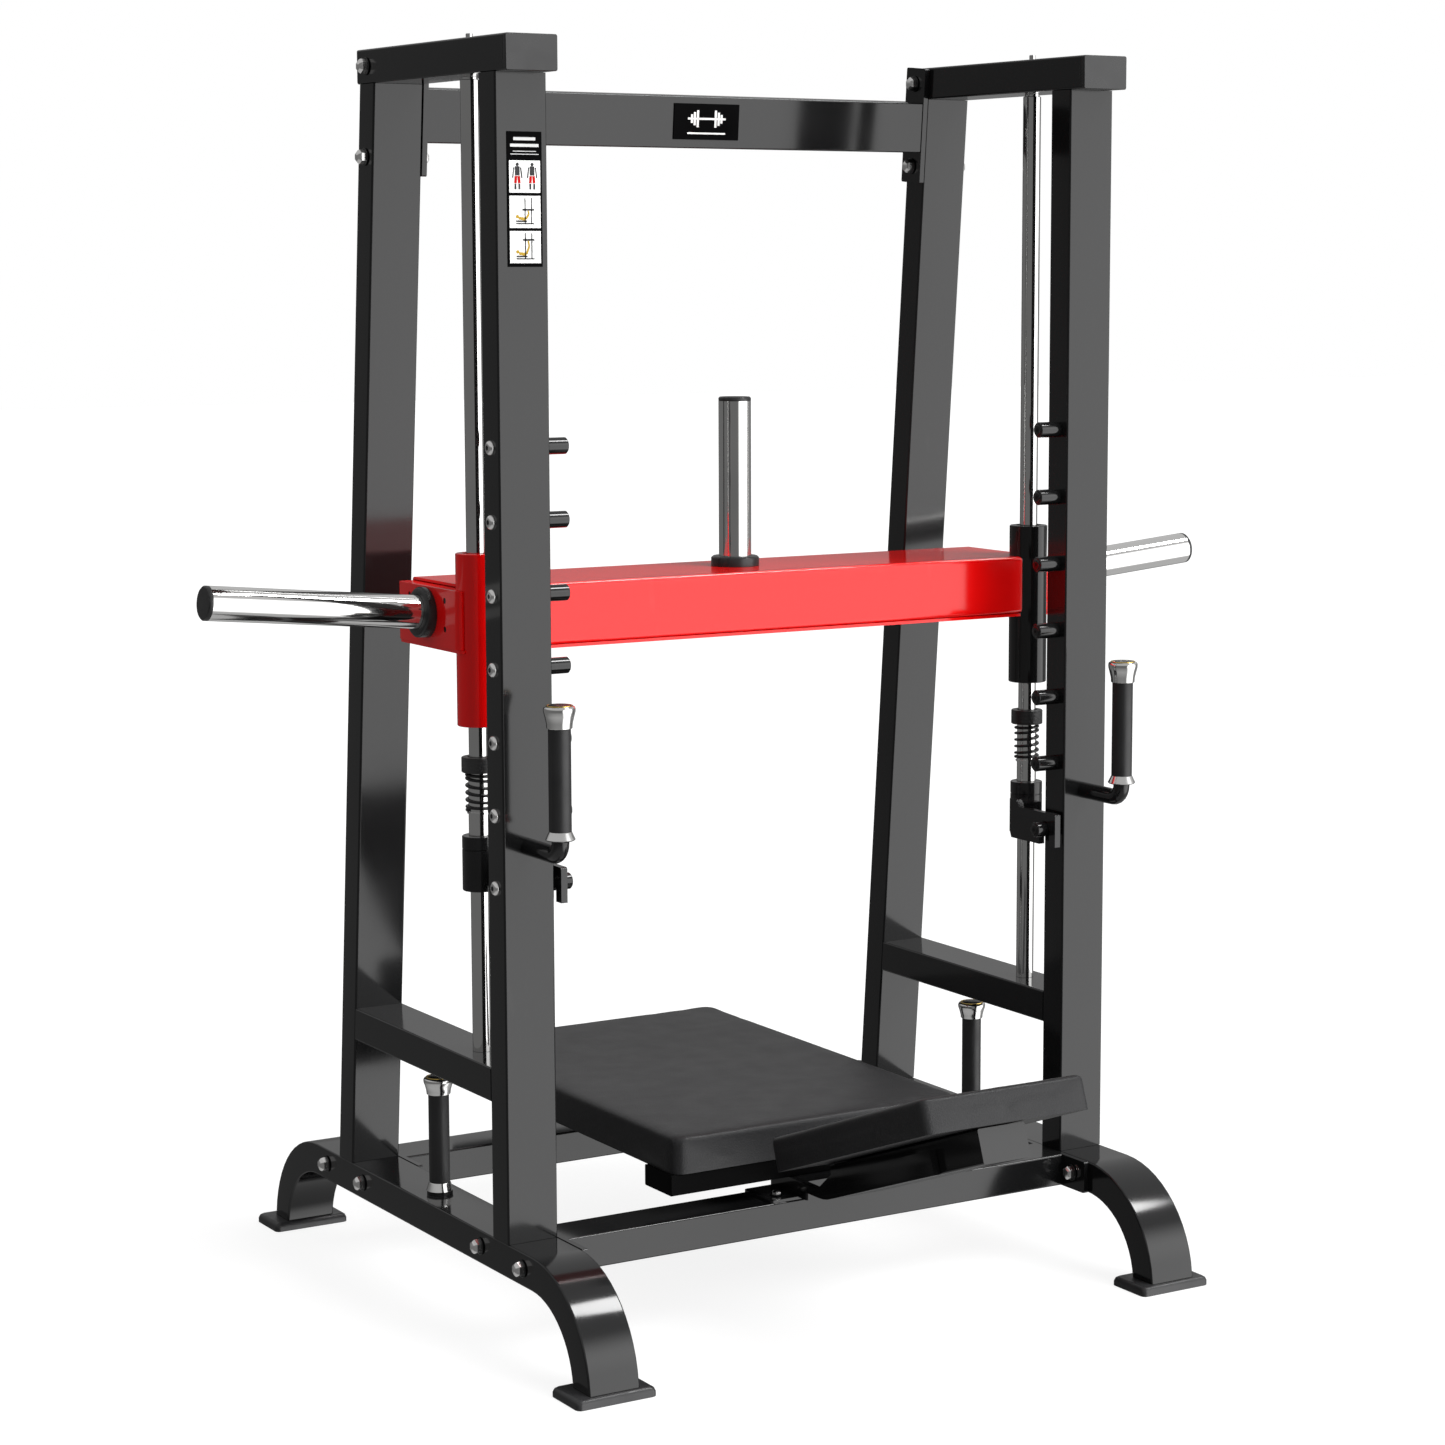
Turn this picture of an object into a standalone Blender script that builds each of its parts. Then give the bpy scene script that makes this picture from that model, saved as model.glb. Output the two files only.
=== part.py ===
"""Vertical leg press with guide rods: two bent-foot side frames, a carriage that slides on
two rods, spring-topped safety stops that hook on pegs, a flat back pad and a tilted headrest.

Units are metres and +Z is up. The machine faces -Y, where the headrest is. Each piece is modelled
from the front upright's front face (y = 0), and one empty then moves all of it back, so that the
origin lies under the middle of the whole machine."""

import math

import bpy
from mathutils import Matrix, Vector

# Overall
ORIGIN_SHIFT_Y = -0.1842
GAP = 0.0003
SIDES = (("left", -1), ("right", 1))

# Rectangular frame tube
TUBE_WIDE = 0.080
TUBE_THIN = 0.050
TUBE_WALL = 0.0025
TUBE_CORNER = 0.003

# Side frames
SIDE_X = 0.489
BASE_TOP = 0.170
FRONT_BEND_Y = -0.070
REAR_BEND_Y = 0.668
BEND_RADIUS = 0.145
LEG_STEPS = 14
PAD_WIDE = 0.126
PAD_DEEP = 0.081
PAD_HIGH = 0.014
FRONT_PAD_Y = -0.2085
REAR_PAD_Y = 0.8205
TOP_TUBE_BOTTOM = 1.825
TOP_TUBE_FRONT_Y = -0.034
TOP_TUBE_REAR_Y = 0.444
TOP_CAP_THICK = 0.008
LOWER_RAIL_BOTTOM = 0.370
REAR_FACE_Y_AT_TOP = 0.387
REAR_FACE_Y_AT_LOW = 0.520
REAR_FACE_LOW_Z = 0.300

# Cross members
END_PLATE_THICK = 0.008
UPPER_CROSS_MIDDLE_Z = 1.7815
UPPER_PLATE_MIDDLE_Z = 1.7840
UPPER_PLATE_HIGH = 0.183
UPPER_PLATE_DEEP = 0.053
BASE_CROSS_WIDE = 0.081
BASE_PLATE_WIDE = 0.197
FRONT_CROSS_Y = 0.0235
REAR_CROSS_Y = 0.561

# Guide rods
ROD_Y = 0.155
ROD_RADIUS = 0.014
STUD_RADIUS = 0.005
STUD_TOP = 1.885
ROD_BORE_RADIUS = 0.0143
ROD_NECK_RADIUS = 0.0115
ROD_NECK_LENGTH = 0.004

# Stop pegs
PEG_COUNT = 7
PEG_LOWEST_Z = 0.6855
PEG_PITCH = 0.1039
PEG_Y = 0.025
PEG_RADIUS = 0.012
PEG_LENGTH = 0.038

# Carriage
BEAM_HALF_LENGTH = 0.500
BEAM_FRONT_Y = 0.137
BEAM_REAR_Y = 0.343
BEAM_BOTTOM = 1.013
BEAM_TOP = 1.103
BEAM_WALL = 0.004
FOOT_PLATE_BOTTOM = 1.008
FOOT_PLATE_HALF_LENGTH = 0.524
END_BLOCK_OUTER_X = 0.527
END_BLOCK_TOP = 1.098
END_BLOCK_HOLES = ((0.182, 1.0400), (0.182, 1.0815), (0.298, 1.0400), (0.298, 1.0815))
END_BLOCK_HOLE_RADIUS = 0.0045
HOUSING_RADIUS = 0.030
HOUSING_BOTTOM = 0.901
HOUSING_TOP = 1.151
LINER_RADIUS = 0.0195

# Plate horns
HORN_RADIUS = 0.025
HORN_Y = 0.243
HORN_ROOT_Z = 1.0595
HORN_TILT = math.radians(5.3)
HORN_END_X = 0.872
COLLAR_RADIUS = 0.0370
COLLAR_LENGTH = 0.015
HORN_CAP_LENGTH = 0.006
CENTRE_HORN_Y = 0.246
CENTRE_HORN_TOP = 1.3615

# Safety stops
STOP_COLLAR_RADIUS = 0.0255
STOP_BOTTOM = 0.6595
STOP_COLLAR_TOP = 0.740
STOP_GROOVE_Z = 0.7205
SLEEVE_RADIUS = 0.0155
SEAT_RADIUS = 0.0175
SEAT_BOTTOM = 0.7725
SEAT_TOP = 0.7748
RING_BOTTOM = 0.833
RING_TOP = 0.8555
RING_RADIUS = 0.025
HOOK_INNER_X = 0.430
HOOK_OUTER_X = 0.440
HOOK_SLOT_RADIUS = 0.0128
HOOK_LUG_PLAN = (
    (0.436, 0.096), (0.436, 0.117), (0.441, 0.127), (0.453, 0.150), (0.476, 0.150), (0.476, 0.096),
)
SPRING_RADIUS = 0.018
SPRING_WIRE_RADIUS = 0.002
SPRING_CLOSED_PITCH = 0.0047
SPRING_CLOSED_TURNS = 1.15
SPRING_FREE_TURNS = 4
SPRING_SIDES = 6
SPRING_STEPS_PER_TURN = 16

# Fixed handles
HANDLE_Z = 0.745
HANDLE_Y = -0.095
HANDLE_RADIUS = 0.0125
HANDLE_BEND = 0.020
HANDLE_GRIP_BOTTOM = 0.781
HANDLE_GRIP_TOP = 0.925
HANDLE_GRIP_RADIUS = 0.016
HANDLE_CAP_TOP = 0.957
SKIRT_HEIGHT = 0.0125
SKIRT_RADIUS = 0.0212
BASE_GRIP_Y = 0.3035
BASE_GRIP_BOTTOM = 0.188
BASE_GRIP_TOP = 0.3235
BASE_GRIP_RADIUS = 0.0157
BASE_GRIP_CORE_RADIUS = 0.012
BASE_GRIP_CAP_TOP = 0.3495

# Pads and their support
BACK_PAD_HALF_WIDTH = 0.255
BACK_PAD_FRONT_Y = -0.001
BACK_PAD_REAR_Y = 0.757
BACK_PAD_BOTTOM = 0.232
BACK_PAD_TOP = 0.290
HEADREST_TILT = math.radians(20)
HEADREST_HALF_WIDTH = 0.141
HEADREST_LENGTH = 0.4243
HEADREST_THICK = 0.051
HEADREST_REAR_Y = -0.077
HEADREST_REAR_TOP = 0.2885
ARM_LENGTH = 0.405
ARM_FRONT_FROM_HEADREST_FRONT = 0.027
MOUNT_PLATE_HALF_LENGTH = 0.098
MOUNT_TOP = 0.1745
RAIL_HALF_WIDTH = 0.044
RAIL_TOP = 0.200
BATTEN_HALF_LENGTH = 0.257
RAIL_FRONT_Y = -0.030
CHEEK_LOW_Z = 0.1865

# Materials: colour, roughness, metallic
FINISHES = {
    "powder_coat": ((0.030, 0.031, 0.033), 0.28, 0.30),
    "red_enamel": ((0.640, 0.010, 0.010), 0.22, 0.10),
    "chrome": ((0.780, 0.780, 0.790), 0.08, 1.00),
    "rubber": ((0.020, 0.020, 0.021), 0.75, 0.00),
    "vinyl": ((0.045, 0.045, 0.046), 0.55, 0.00),
    "black_plastic": ((0.018, 0.018, 0.019), 0.40, 0.00),
    "spring_steel": ((0.060, 0.060, 0.062), 0.35, 0.80),
}


def clear_scene():
    for item in list(bpy.data.objects):
        bpy.data.objects.remove(item, do_unlink=True)


def material_for(node, finish):
    colour, roughness, metallic = FINISHES[finish]
    material = bpy.data.materials.new(node)
    material.use_nodes = True
    shader = material.node_tree.nodes["Principled BSDF"]
    shader.inputs["Base Color"].default_value = (*colour, 1.0)
    shader.inputs["Roughness"].default_value = roughness
    shader.inputs["Metallic"].default_value = metallic
    return material


def empty(name, location, parent=None):
    holder = bpy.data.objects.new(name, None)
    holder.location = location
    holder.parent = parent
    bpy.context.scene.collection.objects.link(holder)
    return holder


def mesh_object(name, points, faces, parent, finish):
    """A mesh with its origin on its parent's, so the points are measured from y = 0."""
    mesh = bpy.data.meshes.new(name)
    mesh.from_pydata([tuple(point) for point in points], [], faces)
    mesh.validate()
    item = bpy.data.objects.new(name, mesh)
    item.data.materials.append(material_for(name, finish))
    item.parent = parent
    home = Vector((0, 0, 0)) if parent is None else parent.get("from_datum", Vector((0, 0, 0)))
    item.location = -Vector(home)
    bpy.context.scene.collection.objects.link(item)
    mesh.shade_smooth()
    mesh.set_sharp_from_angle(angle=math.radians(32))
    return item


def ring_faces(first, second, count):
    return [
        (first + i, first + (i + 1) % count, second + (i + 1) % count, second + i) for i in range(count)
    ]


def swept(name, parent, finish, loops, bore=None, blind=False):
    """A body through a row of loops of points. A bore is a second row, inside it, open at the first
    loop and, unless it is blind, at the last."""
    count = len(loops[0])
    points = [point for loop in loops for point in loop]
    faces = []
    for i in range(len(loops) - 1):
        faces += ring_faces(i * count, (i + 1) * count, count)
    last = (len(loops) - 1) * count
    if not bore:
        faces.append(tuple(reversed(range(count))))
        faces.append(tuple(range(last, last + count)))
        return outward(mesh_object(name, points, faces, parent, finish))
    start = len(points)
    points += [point for loop in bore for point in loop]
    for i in range(len(bore) - 1):
        faces += [face[::-1] for face in ring_faces(start + i * count, start + (i + 1) * count, count)]
    end = start + (len(bore) - 1) * count
    faces += [face[::-1] for face in ring_faces(0, start, count)]
    if blind:
        faces.append(tuple(range(last, last + count)))
        faces.append(tuple(reversed(range(end, end + count))))
    else:
        faces += ring_faces(last, end, count)
    return outward(mesh_object(name, points, faces, parent, finish))


def outward(item):
    """Turns the faces round where the row of loops ran against their direction."""
    mesh = item.data
    volume = 0.0
    for polygon in mesh.polygons:
        first = mesh.vertices[polygon.vertices[0]].co
        for a, b in zip(polygon.vertices[1:-1], polygon.vertices[2:]):
            volume += first.dot(mesh.vertices[a].co.cross(mesh.vertices[b].co))
    if volume < 0:
        mesh.flip_normals()
    return item


def rectangle(wide, deep, corner, steps=3):
    """Points round a rectangle with rounded corners, in its own plane."""
    points = []
    for quarter, (sx, sy) in enumerate(((1, 1), (-1, 1), (-1, -1), (1, -1))):
        for step in range(steps + 1):
            angle = math.pi / 2 * (quarter + step / steps)
            x = sx * (wide / 2 - corner) + corner * math.cos(angle)
            y = sy * (deep / 2 - corner) + corner * math.sin(angle)
            points.append(Vector((x, y, 0)))
    return points


def circle(radius, steps):
    turn = 2 * math.pi / steps
    return [Vector((radius * math.cos(i * turn), radius * math.sin(i * turn), 0)) for i in range(steps)]


def placed(profile, frame):
    return [frame @ point for point in profile]


def frame_at(centre, across, along):
    """Puts a profile's x on `across`, its y square to both, and its plane square to `along`."""
    z = Vector(along).normalized()
    x = Vector(across).normalized()
    y = z.cross(x).normalized()
    turn = Matrix((x, y, z)).transposed().to_4x4()
    return Matrix.Translation(Vector(centre)) @ turn


def lathe(name, parent, finish, profile, centre, steps=40, bore=None):
    """Turns (radius, height) pairs, from the bottom up, round a vertical line through centre."""
    x, y = centre
    loops = [placed(circle(radius, steps), Matrix.Translation((x, y, z))) for radius, z in profile]
    inside = None
    if bore:
        inside = [
            placed(circle(bore, steps), Matrix.Translation((x, y, z)))
            for z in (profile[0][1], profile[-1][1])
        ]
    return swept(name, parent, finish, loops, inside)


def box(name, parent, finish, low, high, corner=0.0, axis=2):
    """A block from its low corner to its high one, its edges along one axis rounded."""
    low = Vector(low)
    high = Vector(high)
    size = high - low
    middle = (low + high) / 2
    along = Vector((0, 0, 0))
    along[axis] = 1
    across = Vector((0, 0, 0))
    across[(axis + 1) % 3] = 1
    wide = size[(axis + 1) % 3]
    deep = size[(axis + 2) % 3]
    profile = rectangle(wide, deep, max(corner, 0.0002), 3 if corner else 1)
    ends = (middle - along * size[axis] / 2, middle + along * size[axis] / 2)
    return swept(name, parent, finish, [placed(profile, frame_at(end, across, along)) for end in ends])


def square_tube(name, parent, centres, across, along, blind=False):
    """A straight frame tube between two centres, 80 mm across and 50 mm the other way."""
    outer = rectangle(TUBE_WIDE, TUBE_THIN, TUBE_CORNER)
    inner = rectangle(TUBE_WIDE - 2 * TUBE_WALL, TUBE_THIN - 2 * TUBE_WALL, TUBE_CORNER - TUBE_WALL)
    loops = [placed(outer, frame_at(centre, across, along)) for centre in centres]
    bore_ends = list(centres)
    if blind:
        bore_ends[1] = Vector(centres[1]) - Vector(along).normalized() * 0.004
    bore = [placed(inner, frame_at(centre, across, along)) for centre in bore_ends]
    return swept(name, parent, "powder_coat", loops, bore, blind)


def boolean(item, other, operation):
    modifier = item.modifiers.new(operation.lower(), "BOOLEAN")
    modifier.operation = operation
    modifier.solver = "EXACT"
    modifier.object = other
    other.hide_render = True
    other.display_type = "WIRE"


def rear_face_y(z):
    rise = TOP_TUBE_BOTTOM - REAR_FACE_LOW_Z
    return REAR_FACE_Y_AT_TOP + (REAR_FACE_Y_AT_LOW - REAR_FACE_Y_AT_TOP) * (TOP_TUBE_BOTTOM - z) / rise


def leg_frames(bend_y, direction, x):
    """Frames round one foot's bend, from the pad up to the straight part of the base tube."""
    foot_y = bend_y + direction * math.sqrt(BEND_RADIUS**2 - PAD_HIGH**2)
    frames = [frame_at((x, foot_y, PAD_HIGH + GAP), (1, 0, 0), (0, 0, 1))]
    for step in range(2, LEG_STEPS + 1):
        angle = math.pi / 2 * (1 - step / LEG_STEPS)
        centre = (x, bend_y + direction * BEND_RADIUS * math.sin(angle), BEND_RADIUS * math.cos(angle))
        along = (0, -direction * math.cos(angle), math.sin(angle))
        frames.append(frame_at(centre, (1, 0, 0), along))
    return frames


def build_base_tube(side, sign, frame):
    x = sign * SIDE_X
    front = leg_frames(FRONT_BEND_Y, -1, x)
    rear = leg_frames(REAR_BEND_Y, 1, x)
    turn_round = Matrix.Scale(-1, 4, (0, 1, 0)) @ Matrix.Scale(-1, 4, (0, 0, 1))
    frames = front + [item @ turn_round for item in reversed(rear)]
    outer = rectangle(TUBE_WIDE, TUBE_THIN, TUBE_CORNER, 2)
    inner = rectangle(TUBE_WIDE - 2 * TUBE_WALL, TUBE_THIN - 2 * TUBE_WALL, TUBE_CORNER - TUBE_WALL, 2)
    loops = [placed(outer, item) for item in frames]
    bore = [placed(inner, item) for item in frames]
    swept(f"base_tube_{side}", frame, "powder_coat", loops, bore)


def build_foot_pads(side, sign, frame):
    for end, y in (("front", FRONT_PAD_Y), ("rear", REAR_PAD_Y)):
        x = sign * SIDE_X
        wide = rectangle(PAD_WIDE, PAD_DEEP, 0.008)
        eased = rectangle(PAD_WIDE - 0.004, PAD_DEEP - 0.004, 0.007)
        narrow = rectangle(PAD_WIDE - 0.012, PAD_DEEP - 0.012, 0.005)
        loops = [
            placed(wide, Matrix.Translation((x, y, 0))),
            placed(wide, Matrix.Translation((x, y, PAD_HIGH - 0.007))),
            placed(eased, Matrix.Translation((x, y, PAD_HIGH - 0.0025))),
            placed(narrow, Matrix.Translation((x, y, PAD_HIGH))),
        ]
        swept(f"foot_pad_{end}_{side}", frame, "rubber", loops)


def build_front_upright(side, sign, frame):
    x = sign * SIDE_X
    centres = [(x, TUBE_THIN / 2, BASE_TOP + GAP), (x, TUBE_THIN / 2, TOP_TUBE_BOTTOM - GAP)]
    upright = square_tube(f"front_upright_{side}", frame, centres, (1, 0, 0), (0, 0, 1))
    inner_x = sign * (SIDE_X - TUBE_WIDE / 2)
    for number in range(PEG_COUNT):
        z = PEG_LOWEST_Z + number * PEG_PITCH
        loops = []
        for radius, reach in ((PEG_RADIUS, -0.0015), (PEG_RADIUS, PEG_LENGTH - 0.0015),
                              (PEG_RADIUS - 0.0015, PEG_LENGTH)):
            centre = (inner_x - sign * reach, PEG_Y, z)
            loops.append(placed(circle(radius, 20), frame_at(centre, (0, 1, 0), (-sign, 0, 0))))
        peg = swept(f"peg_{side}_{number}", frame, "powder_coat", loops)
        boolean(upright, peg, "UNION")


def build_rear_upright(side, sign, frame):
    x = sign * SIDE_X
    centres = []
    for z in (BASE_TOP + GAP, TOP_TUBE_BOTTOM - GAP):
        centres.append((x, rear_face_y(z) + TUBE_THIN / 2, z))
    square_tube(f"rear_upright_{side}", frame, centres, (1, 0, 0), (0, 0, 1))


def build_top_tube(side, sign, frame):
    x = sign * SIDE_X
    z = TOP_TUBE_BOTTOM + TUBE_THIN / 2
    front = TOP_TUBE_FRONT_Y + TOP_CAP_THICK + GAP
    centres = [(x, front, z), (x, TOP_TUBE_REAR_Y, z)]
    tube = square_tube(f"top_tube_{side}", frame, centres, (-1, 0, 0), (0, 1, 0))
    hole = lathe(
        f"stud_hole_{side}", frame, "chrome",
        [(STUD_RADIUS + 0.0005, TOP_TUBE_BOTTOM - 0.01), (STUD_RADIUS + 0.0005, STUD_TOP + 0.01)],
        (x, ROD_Y), 16,
    )
    boolean(tube, hole, "DIFFERENCE")
    edge = 0.0008
    full = rectangle(TUBE_WIDE, TUBE_THIN, TUBE_CORNER)
    less = rectangle(TUBE_WIDE - 2 * edge, TUBE_THIN - 2 * edge, TUBE_CORNER - edge)
    loops = []
    for profile, y in ((less, TOP_TUBE_FRONT_Y), (full, TOP_TUBE_FRONT_Y + edge),
                       (full, TOP_TUBE_FRONT_Y + TOP_CAP_THICK)):
        loops.append(placed(profile, frame_at((x, y, z), (-1, 0, 0), (0, 1, 0))))
    swept(f"top_tube_cap_{side}", frame, "black_plastic", loops)


def build_lower_rail(side, sign, frame):
    z = LOWER_RAIL_BOTTOM + TUBE_THIN / 2
    lean = math.atan((REAR_FACE_Y_AT_LOW - REAR_FACE_Y_AT_TOP) / (TOP_TUBE_BOTTOM - REAR_FACE_LOW_Z))
    outer = rectangle(TUBE_WIDE, TUBE_THIN, TUBE_CORNER)
    inner = rectangle(TUBE_WIDE - 2 * TUBE_WALL, TUBE_THIN - 2 * TUBE_WALL, TUBE_CORNER - TUBE_WALL)
    start = frame_at((sign * SIDE_X, TUBE_THIN + GAP, z), (-1, 0, 0), (0, 1, 0))
    end = frame_at((sign * SIDE_X, rear_face_y(z) - GAP, z), (-1, 0, 0), (0, 1, 0))
    slope = Matrix.Identity(4)
    slope[2][1] = -math.tan(lean)
    loops = [placed(outer, start), placed([slope @ point for point in outer], end)]
    bore = [placed(inner, start), placed([slope @ point for point in inner], end)]
    swept(f"lower_rail_{side}", frame, "powder_coat", loops, bore)


def cross_member(name, frame, centre, turn, tube, plate, plate_offset):
    """A hollow tube along X with a wider flange plate welded on each end."""
    half = SIDE_X - TUBE_WIDE / 2 - GAP
    tube_profile = rectangle(tube[0], tube[1], TUBE_CORNER)
    plate_profile = rectangle(plate[0], plate[1], 0.003)
    bore_profile = rectangle(tube[0] - 2 * TUBE_WALL, tube[1] - 2 * TUBE_WALL, TUBE_CORNER - TUBE_WALL)
    rows = []
    for x, profile, offset in (
        (-half, plate_profile, plate_offset),
        (-half + END_PLATE_THICK, plate_profile, plate_offset),
        (-half + END_PLATE_THICK, tube_profile, 0.0),
        (half - END_PLATE_THICK, tube_profile, 0.0),
        (half - END_PLATE_THICK, plate_profile, plate_offset),
        (half, plate_profile, plate_offset),
    ):
        move = Matrix.Translation(Vector(centre)) @ turn @ Matrix.Translation((x, 0, offset))
        rows.append(placed(profile, move @ frame_at((0, 0, 0), (0, 1, 0), (1, 0, 0))))
    bore = []
    for x in (-half, half):
        move = Matrix.Translation(Vector(centre)) @ turn @ Matrix.Translation((x, 0, 0))
        bore.append(placed(bore_profile, move @ frame_at((0, 0, 0), (0, 1, 0), (1, 0, 0))))
    swept(name, frame, "powder_coat", rows, bore)


def build_cross_members(frame):
    lean = math.atan((REAR_FACE_Y_AT_LOW - REAR_FACE_Y_AT_TOP) / (TOP_TUBE_BOTTOM - REAR_FACE_LOW_Z))
    upper_y = rear_face_y(UPPER_CROSS_MIDDLE_Z) + TUBE_THIN / 2
    cross_member(
        "upper_cross_member", frame, (0, upper_y, UPPER_CROSS_MIDDLE_Z), Matrix.Rotation(lean, 4, "X"),
        (TUBE_THIN, TUBE_WIDE), (UPPER_PLATE_DEEP, UPPER_PLATE_HIGH),
        UPPER_PLATE_MIDDLE_Z - UPPER_CROSS_MIDDLE_Z,
    )
    for name, y in (("front_cross_member", FRONT_CROSS_Y), ("rear_cross_member", REAR_CROSS_Y)):
        cross_member(
            name, frame, (0, y, BASE_TOP - TUBE_THIN / 2), Matrix.Identity(4),
            (BASE_CROSS_WIDE, TUBE_THIN), (BASE_PLATE_WIDE, TUBE_THIN), 0.0,
        )


def build_guide_rod(side, sign, frame):
    profile = [
        (ROD_RADIUS, LOWER_RAIL_BOTTOM + TUBE_THIN + GAP),
        (ROD_RADIUS, TOP_TUBE_BOTTOM - ROD_NECK_LENGTH - 0.001),
        (ROD_RADIUS - 0.001, TOP_TUBE_BOTTOM - ROD_NECK_LENGTH),
        (ROD_NECK_RADIUS, TOP_TUBE_BOTTOM - ROD_NECK_LENGTH),
        (ROD_NECK_RADIUS, TOP_TUBE_BOTTOM - GAP),
        (STUD_RADIUS, TOP_TUBE_BOTTOM - GAP),
        (STUD_RADIUS, STUD_TOP - 0.001),
        (STUD_RADIUS - 0.001, STUD_TOP),
    ]
    lathe(f"guide_rod_{side}", frame, "chrome", profile, (sign * SIDE_X, ROD_Y))


def build_front_handle(side, sign, frame):
    x = sign * SIDE_X
    stations = [((x, -GAP, HANDLE_Z), (0, -1, 0), HANDLE_RADIUS)]
    for step in range(7):
        angle = math.pi / 2 * step / 6
        y = HANDLE_Y + HANDLE_BEND * (1 - math.sin(angle))
        z = HANDLE_Z + HANDLE_BEND * (1 - math.cos(angle))
        stations.append(((x, y, z), (0, -math.cos(angle), math.sin(angle)), HANDLE_RADIUS))
    skirt = HANDLE_GRIP_BOTTOM - SKIRT_HEIGHT
    for z, radius in (
        (skirt - 0.002, HANDLE_RADIUS), (skirt, SKIRT_RADIUS - 0.0015), (skirt + 0.0015, SKIRT_RADIUS),
        (HANDLE_GRIP_BOTTOM - 0.001, HANDLE_GRIP_RADIUS + 0.0005),
        (HANDLE_GRIP_BOTTOM - GAP, HANDLE_GRIP_RADIUS), (HANDLE_GRIP_BOTTOM - GAP, HANDLE_RADIUS),
        (HANDLE_GRIP_TOP, HANDLE_RADIUS),
    ):
        stations.append(((x, HANDLE_Y, z), (0, 0, 1), radius))
    loops = [
        placed(circle(radius, 20), frame_at(centre, (1, 0, 0), along)) for centre, along, radius in stations
    ]
    swept(f"front_handle_bar_{side}", frame, "powder_coat", loops)
    grip = [(HANDLE_GRIP_RADIUS, HANDLE_GRIP_BOTTOM), (HANDLE_GRIP_RADIUS, HANDLE_GRIP_TOP)]
    lathe(f"front_handle_grip_{side}", frame, "rubber", grip, (x, HANDLE_Y), 24, HANDLE_RADIUS + GAP)
    low = HANDLE_GRIP_TOP + GAP
    high = HANDLE_CAP_TOP
    cap = [(0.0172, low), (0.0182, low + 0.001), (0.0187, low + 0.008), (0.0210, high - 0.014),
           (0.0226, high - 0.008), (0.0228, high - 0.004), (0.0218, high - 0.001), (0.0195, high)]
    lathe(f"front_handle_cap_{side}", frame, "chrome", cap, (x, HANDLE_Y), 24)


def build_base_grip(side, sign, frame):
    centre = (sign * SIDE_X, BASE_GRIP_Y)
    high = BASE_GRIP_CAP_TOP
    post = [
        (0.0195, BASE_TOP + GAP), (0.0195, BASE_TOP + 0.0045), (0.0203, BASE_TOP + 0.0055),
        (0.0166, BASE_GRIP_BOTTOM - 0.001), (0.0160, BASE_GRIP_BOTTOM),
        (BASE_GRIP_CORE_RADIUS, BASE_GRIP_BOTTOM), (BASE_GRIP_CORE_RADIUS, BASE_GRIP_TOP),
        (0.0170, BASE_GRIP_TOP), (0.0180, BASE_GRIP_TOP + 0.001), (0.0185, BASE_GRIP_TOP + 0.006),
        (0.0206, high - 0.012), (0.0224, high - 0.007), (0.0226, high - 0.0035), (0.0216, high - 0.001),
        (0.0192, high),
    ]
    lathe(f"base_grip_post_{side}", frame, "chrome", post, centre, 24)
    sleeve = [(BASE_GRIP_RADIUS, BASE_GRIP_BOTTOM + GAP), (BASE_GRIP_RADIUS, BASE_GRIP_TOP - GAP)]
    lathe(f"base_grip_sleeve_{side}", frame, "rubber", sleeve, centre, 24, BASE_GRIP_CORE_RADIUS + GAP)


def headrest_frame(along_top):
    """The point on the headrest's top face, at a distance from its rear edge, on the centre line."""
    y = HEADREST_REAR_Y - along_top * math.cos(HEADREST_TILT)
    z = HEADREST_REAR_TOP + along_top * math.sin(HEADREST_TILT)
    return Vector((0, y, z))


def build_pads(frame):
    back_low = (-BACK_PAD_HALF_WIDTH, BACK_PAD_FRONT_Y, BACK_PAD_BOTTOM)
    back_high = (BACK_PAD_HALF_WIDTH, BACK_PAD_REAR_Y, BACK_PAD_TOP)
    cushion("back_pad", frame, back_low, back_high, 0.006, 0.022)
    size = (2 * HEADREST_HALF_WIDTH, HEADREST_LENGTH, HEADREST_THICK)
    low = (-size[0] / 2, -size[1], -size[2])
    high = (size[0] / 2, 0, 0)
    pad = cushion("headrest_pad", frame, low, high, 0.005, 0.012)
    pad.matrix_local = Matrix.Translation(headrest_frame(0)) @ Matrix.Rotation(-HEADREST_TILT, 4, "X")


def cushion(name, frame, low, high, soft, corner):
    """A block with rounded corners seen from above and eased edges along its top and bottom."""
    wide = high[0] - low[0]
    deep = high[1] - low[1]
    middle = ((low[0] + high[0]) / 2, (low[1] + high[1]) / 2)
    loops = []
    for inset, z in (
        (soft * 0.3, low[2]), (0, low[2] + soft * 0.3), (0, high[2] - soft),
        (soft * 0.3, high[2] - soft * 0.3), (soft, high[2]),
    ):
        profile = rectangle(wide - 2 * inset, deep - 2 * inset, corner - inset)
        loops.append(placed(profile, Matrix.Translation((middle[0], middle[1], z))))
    return swept(name, frame, "vinyl", loops)


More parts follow.
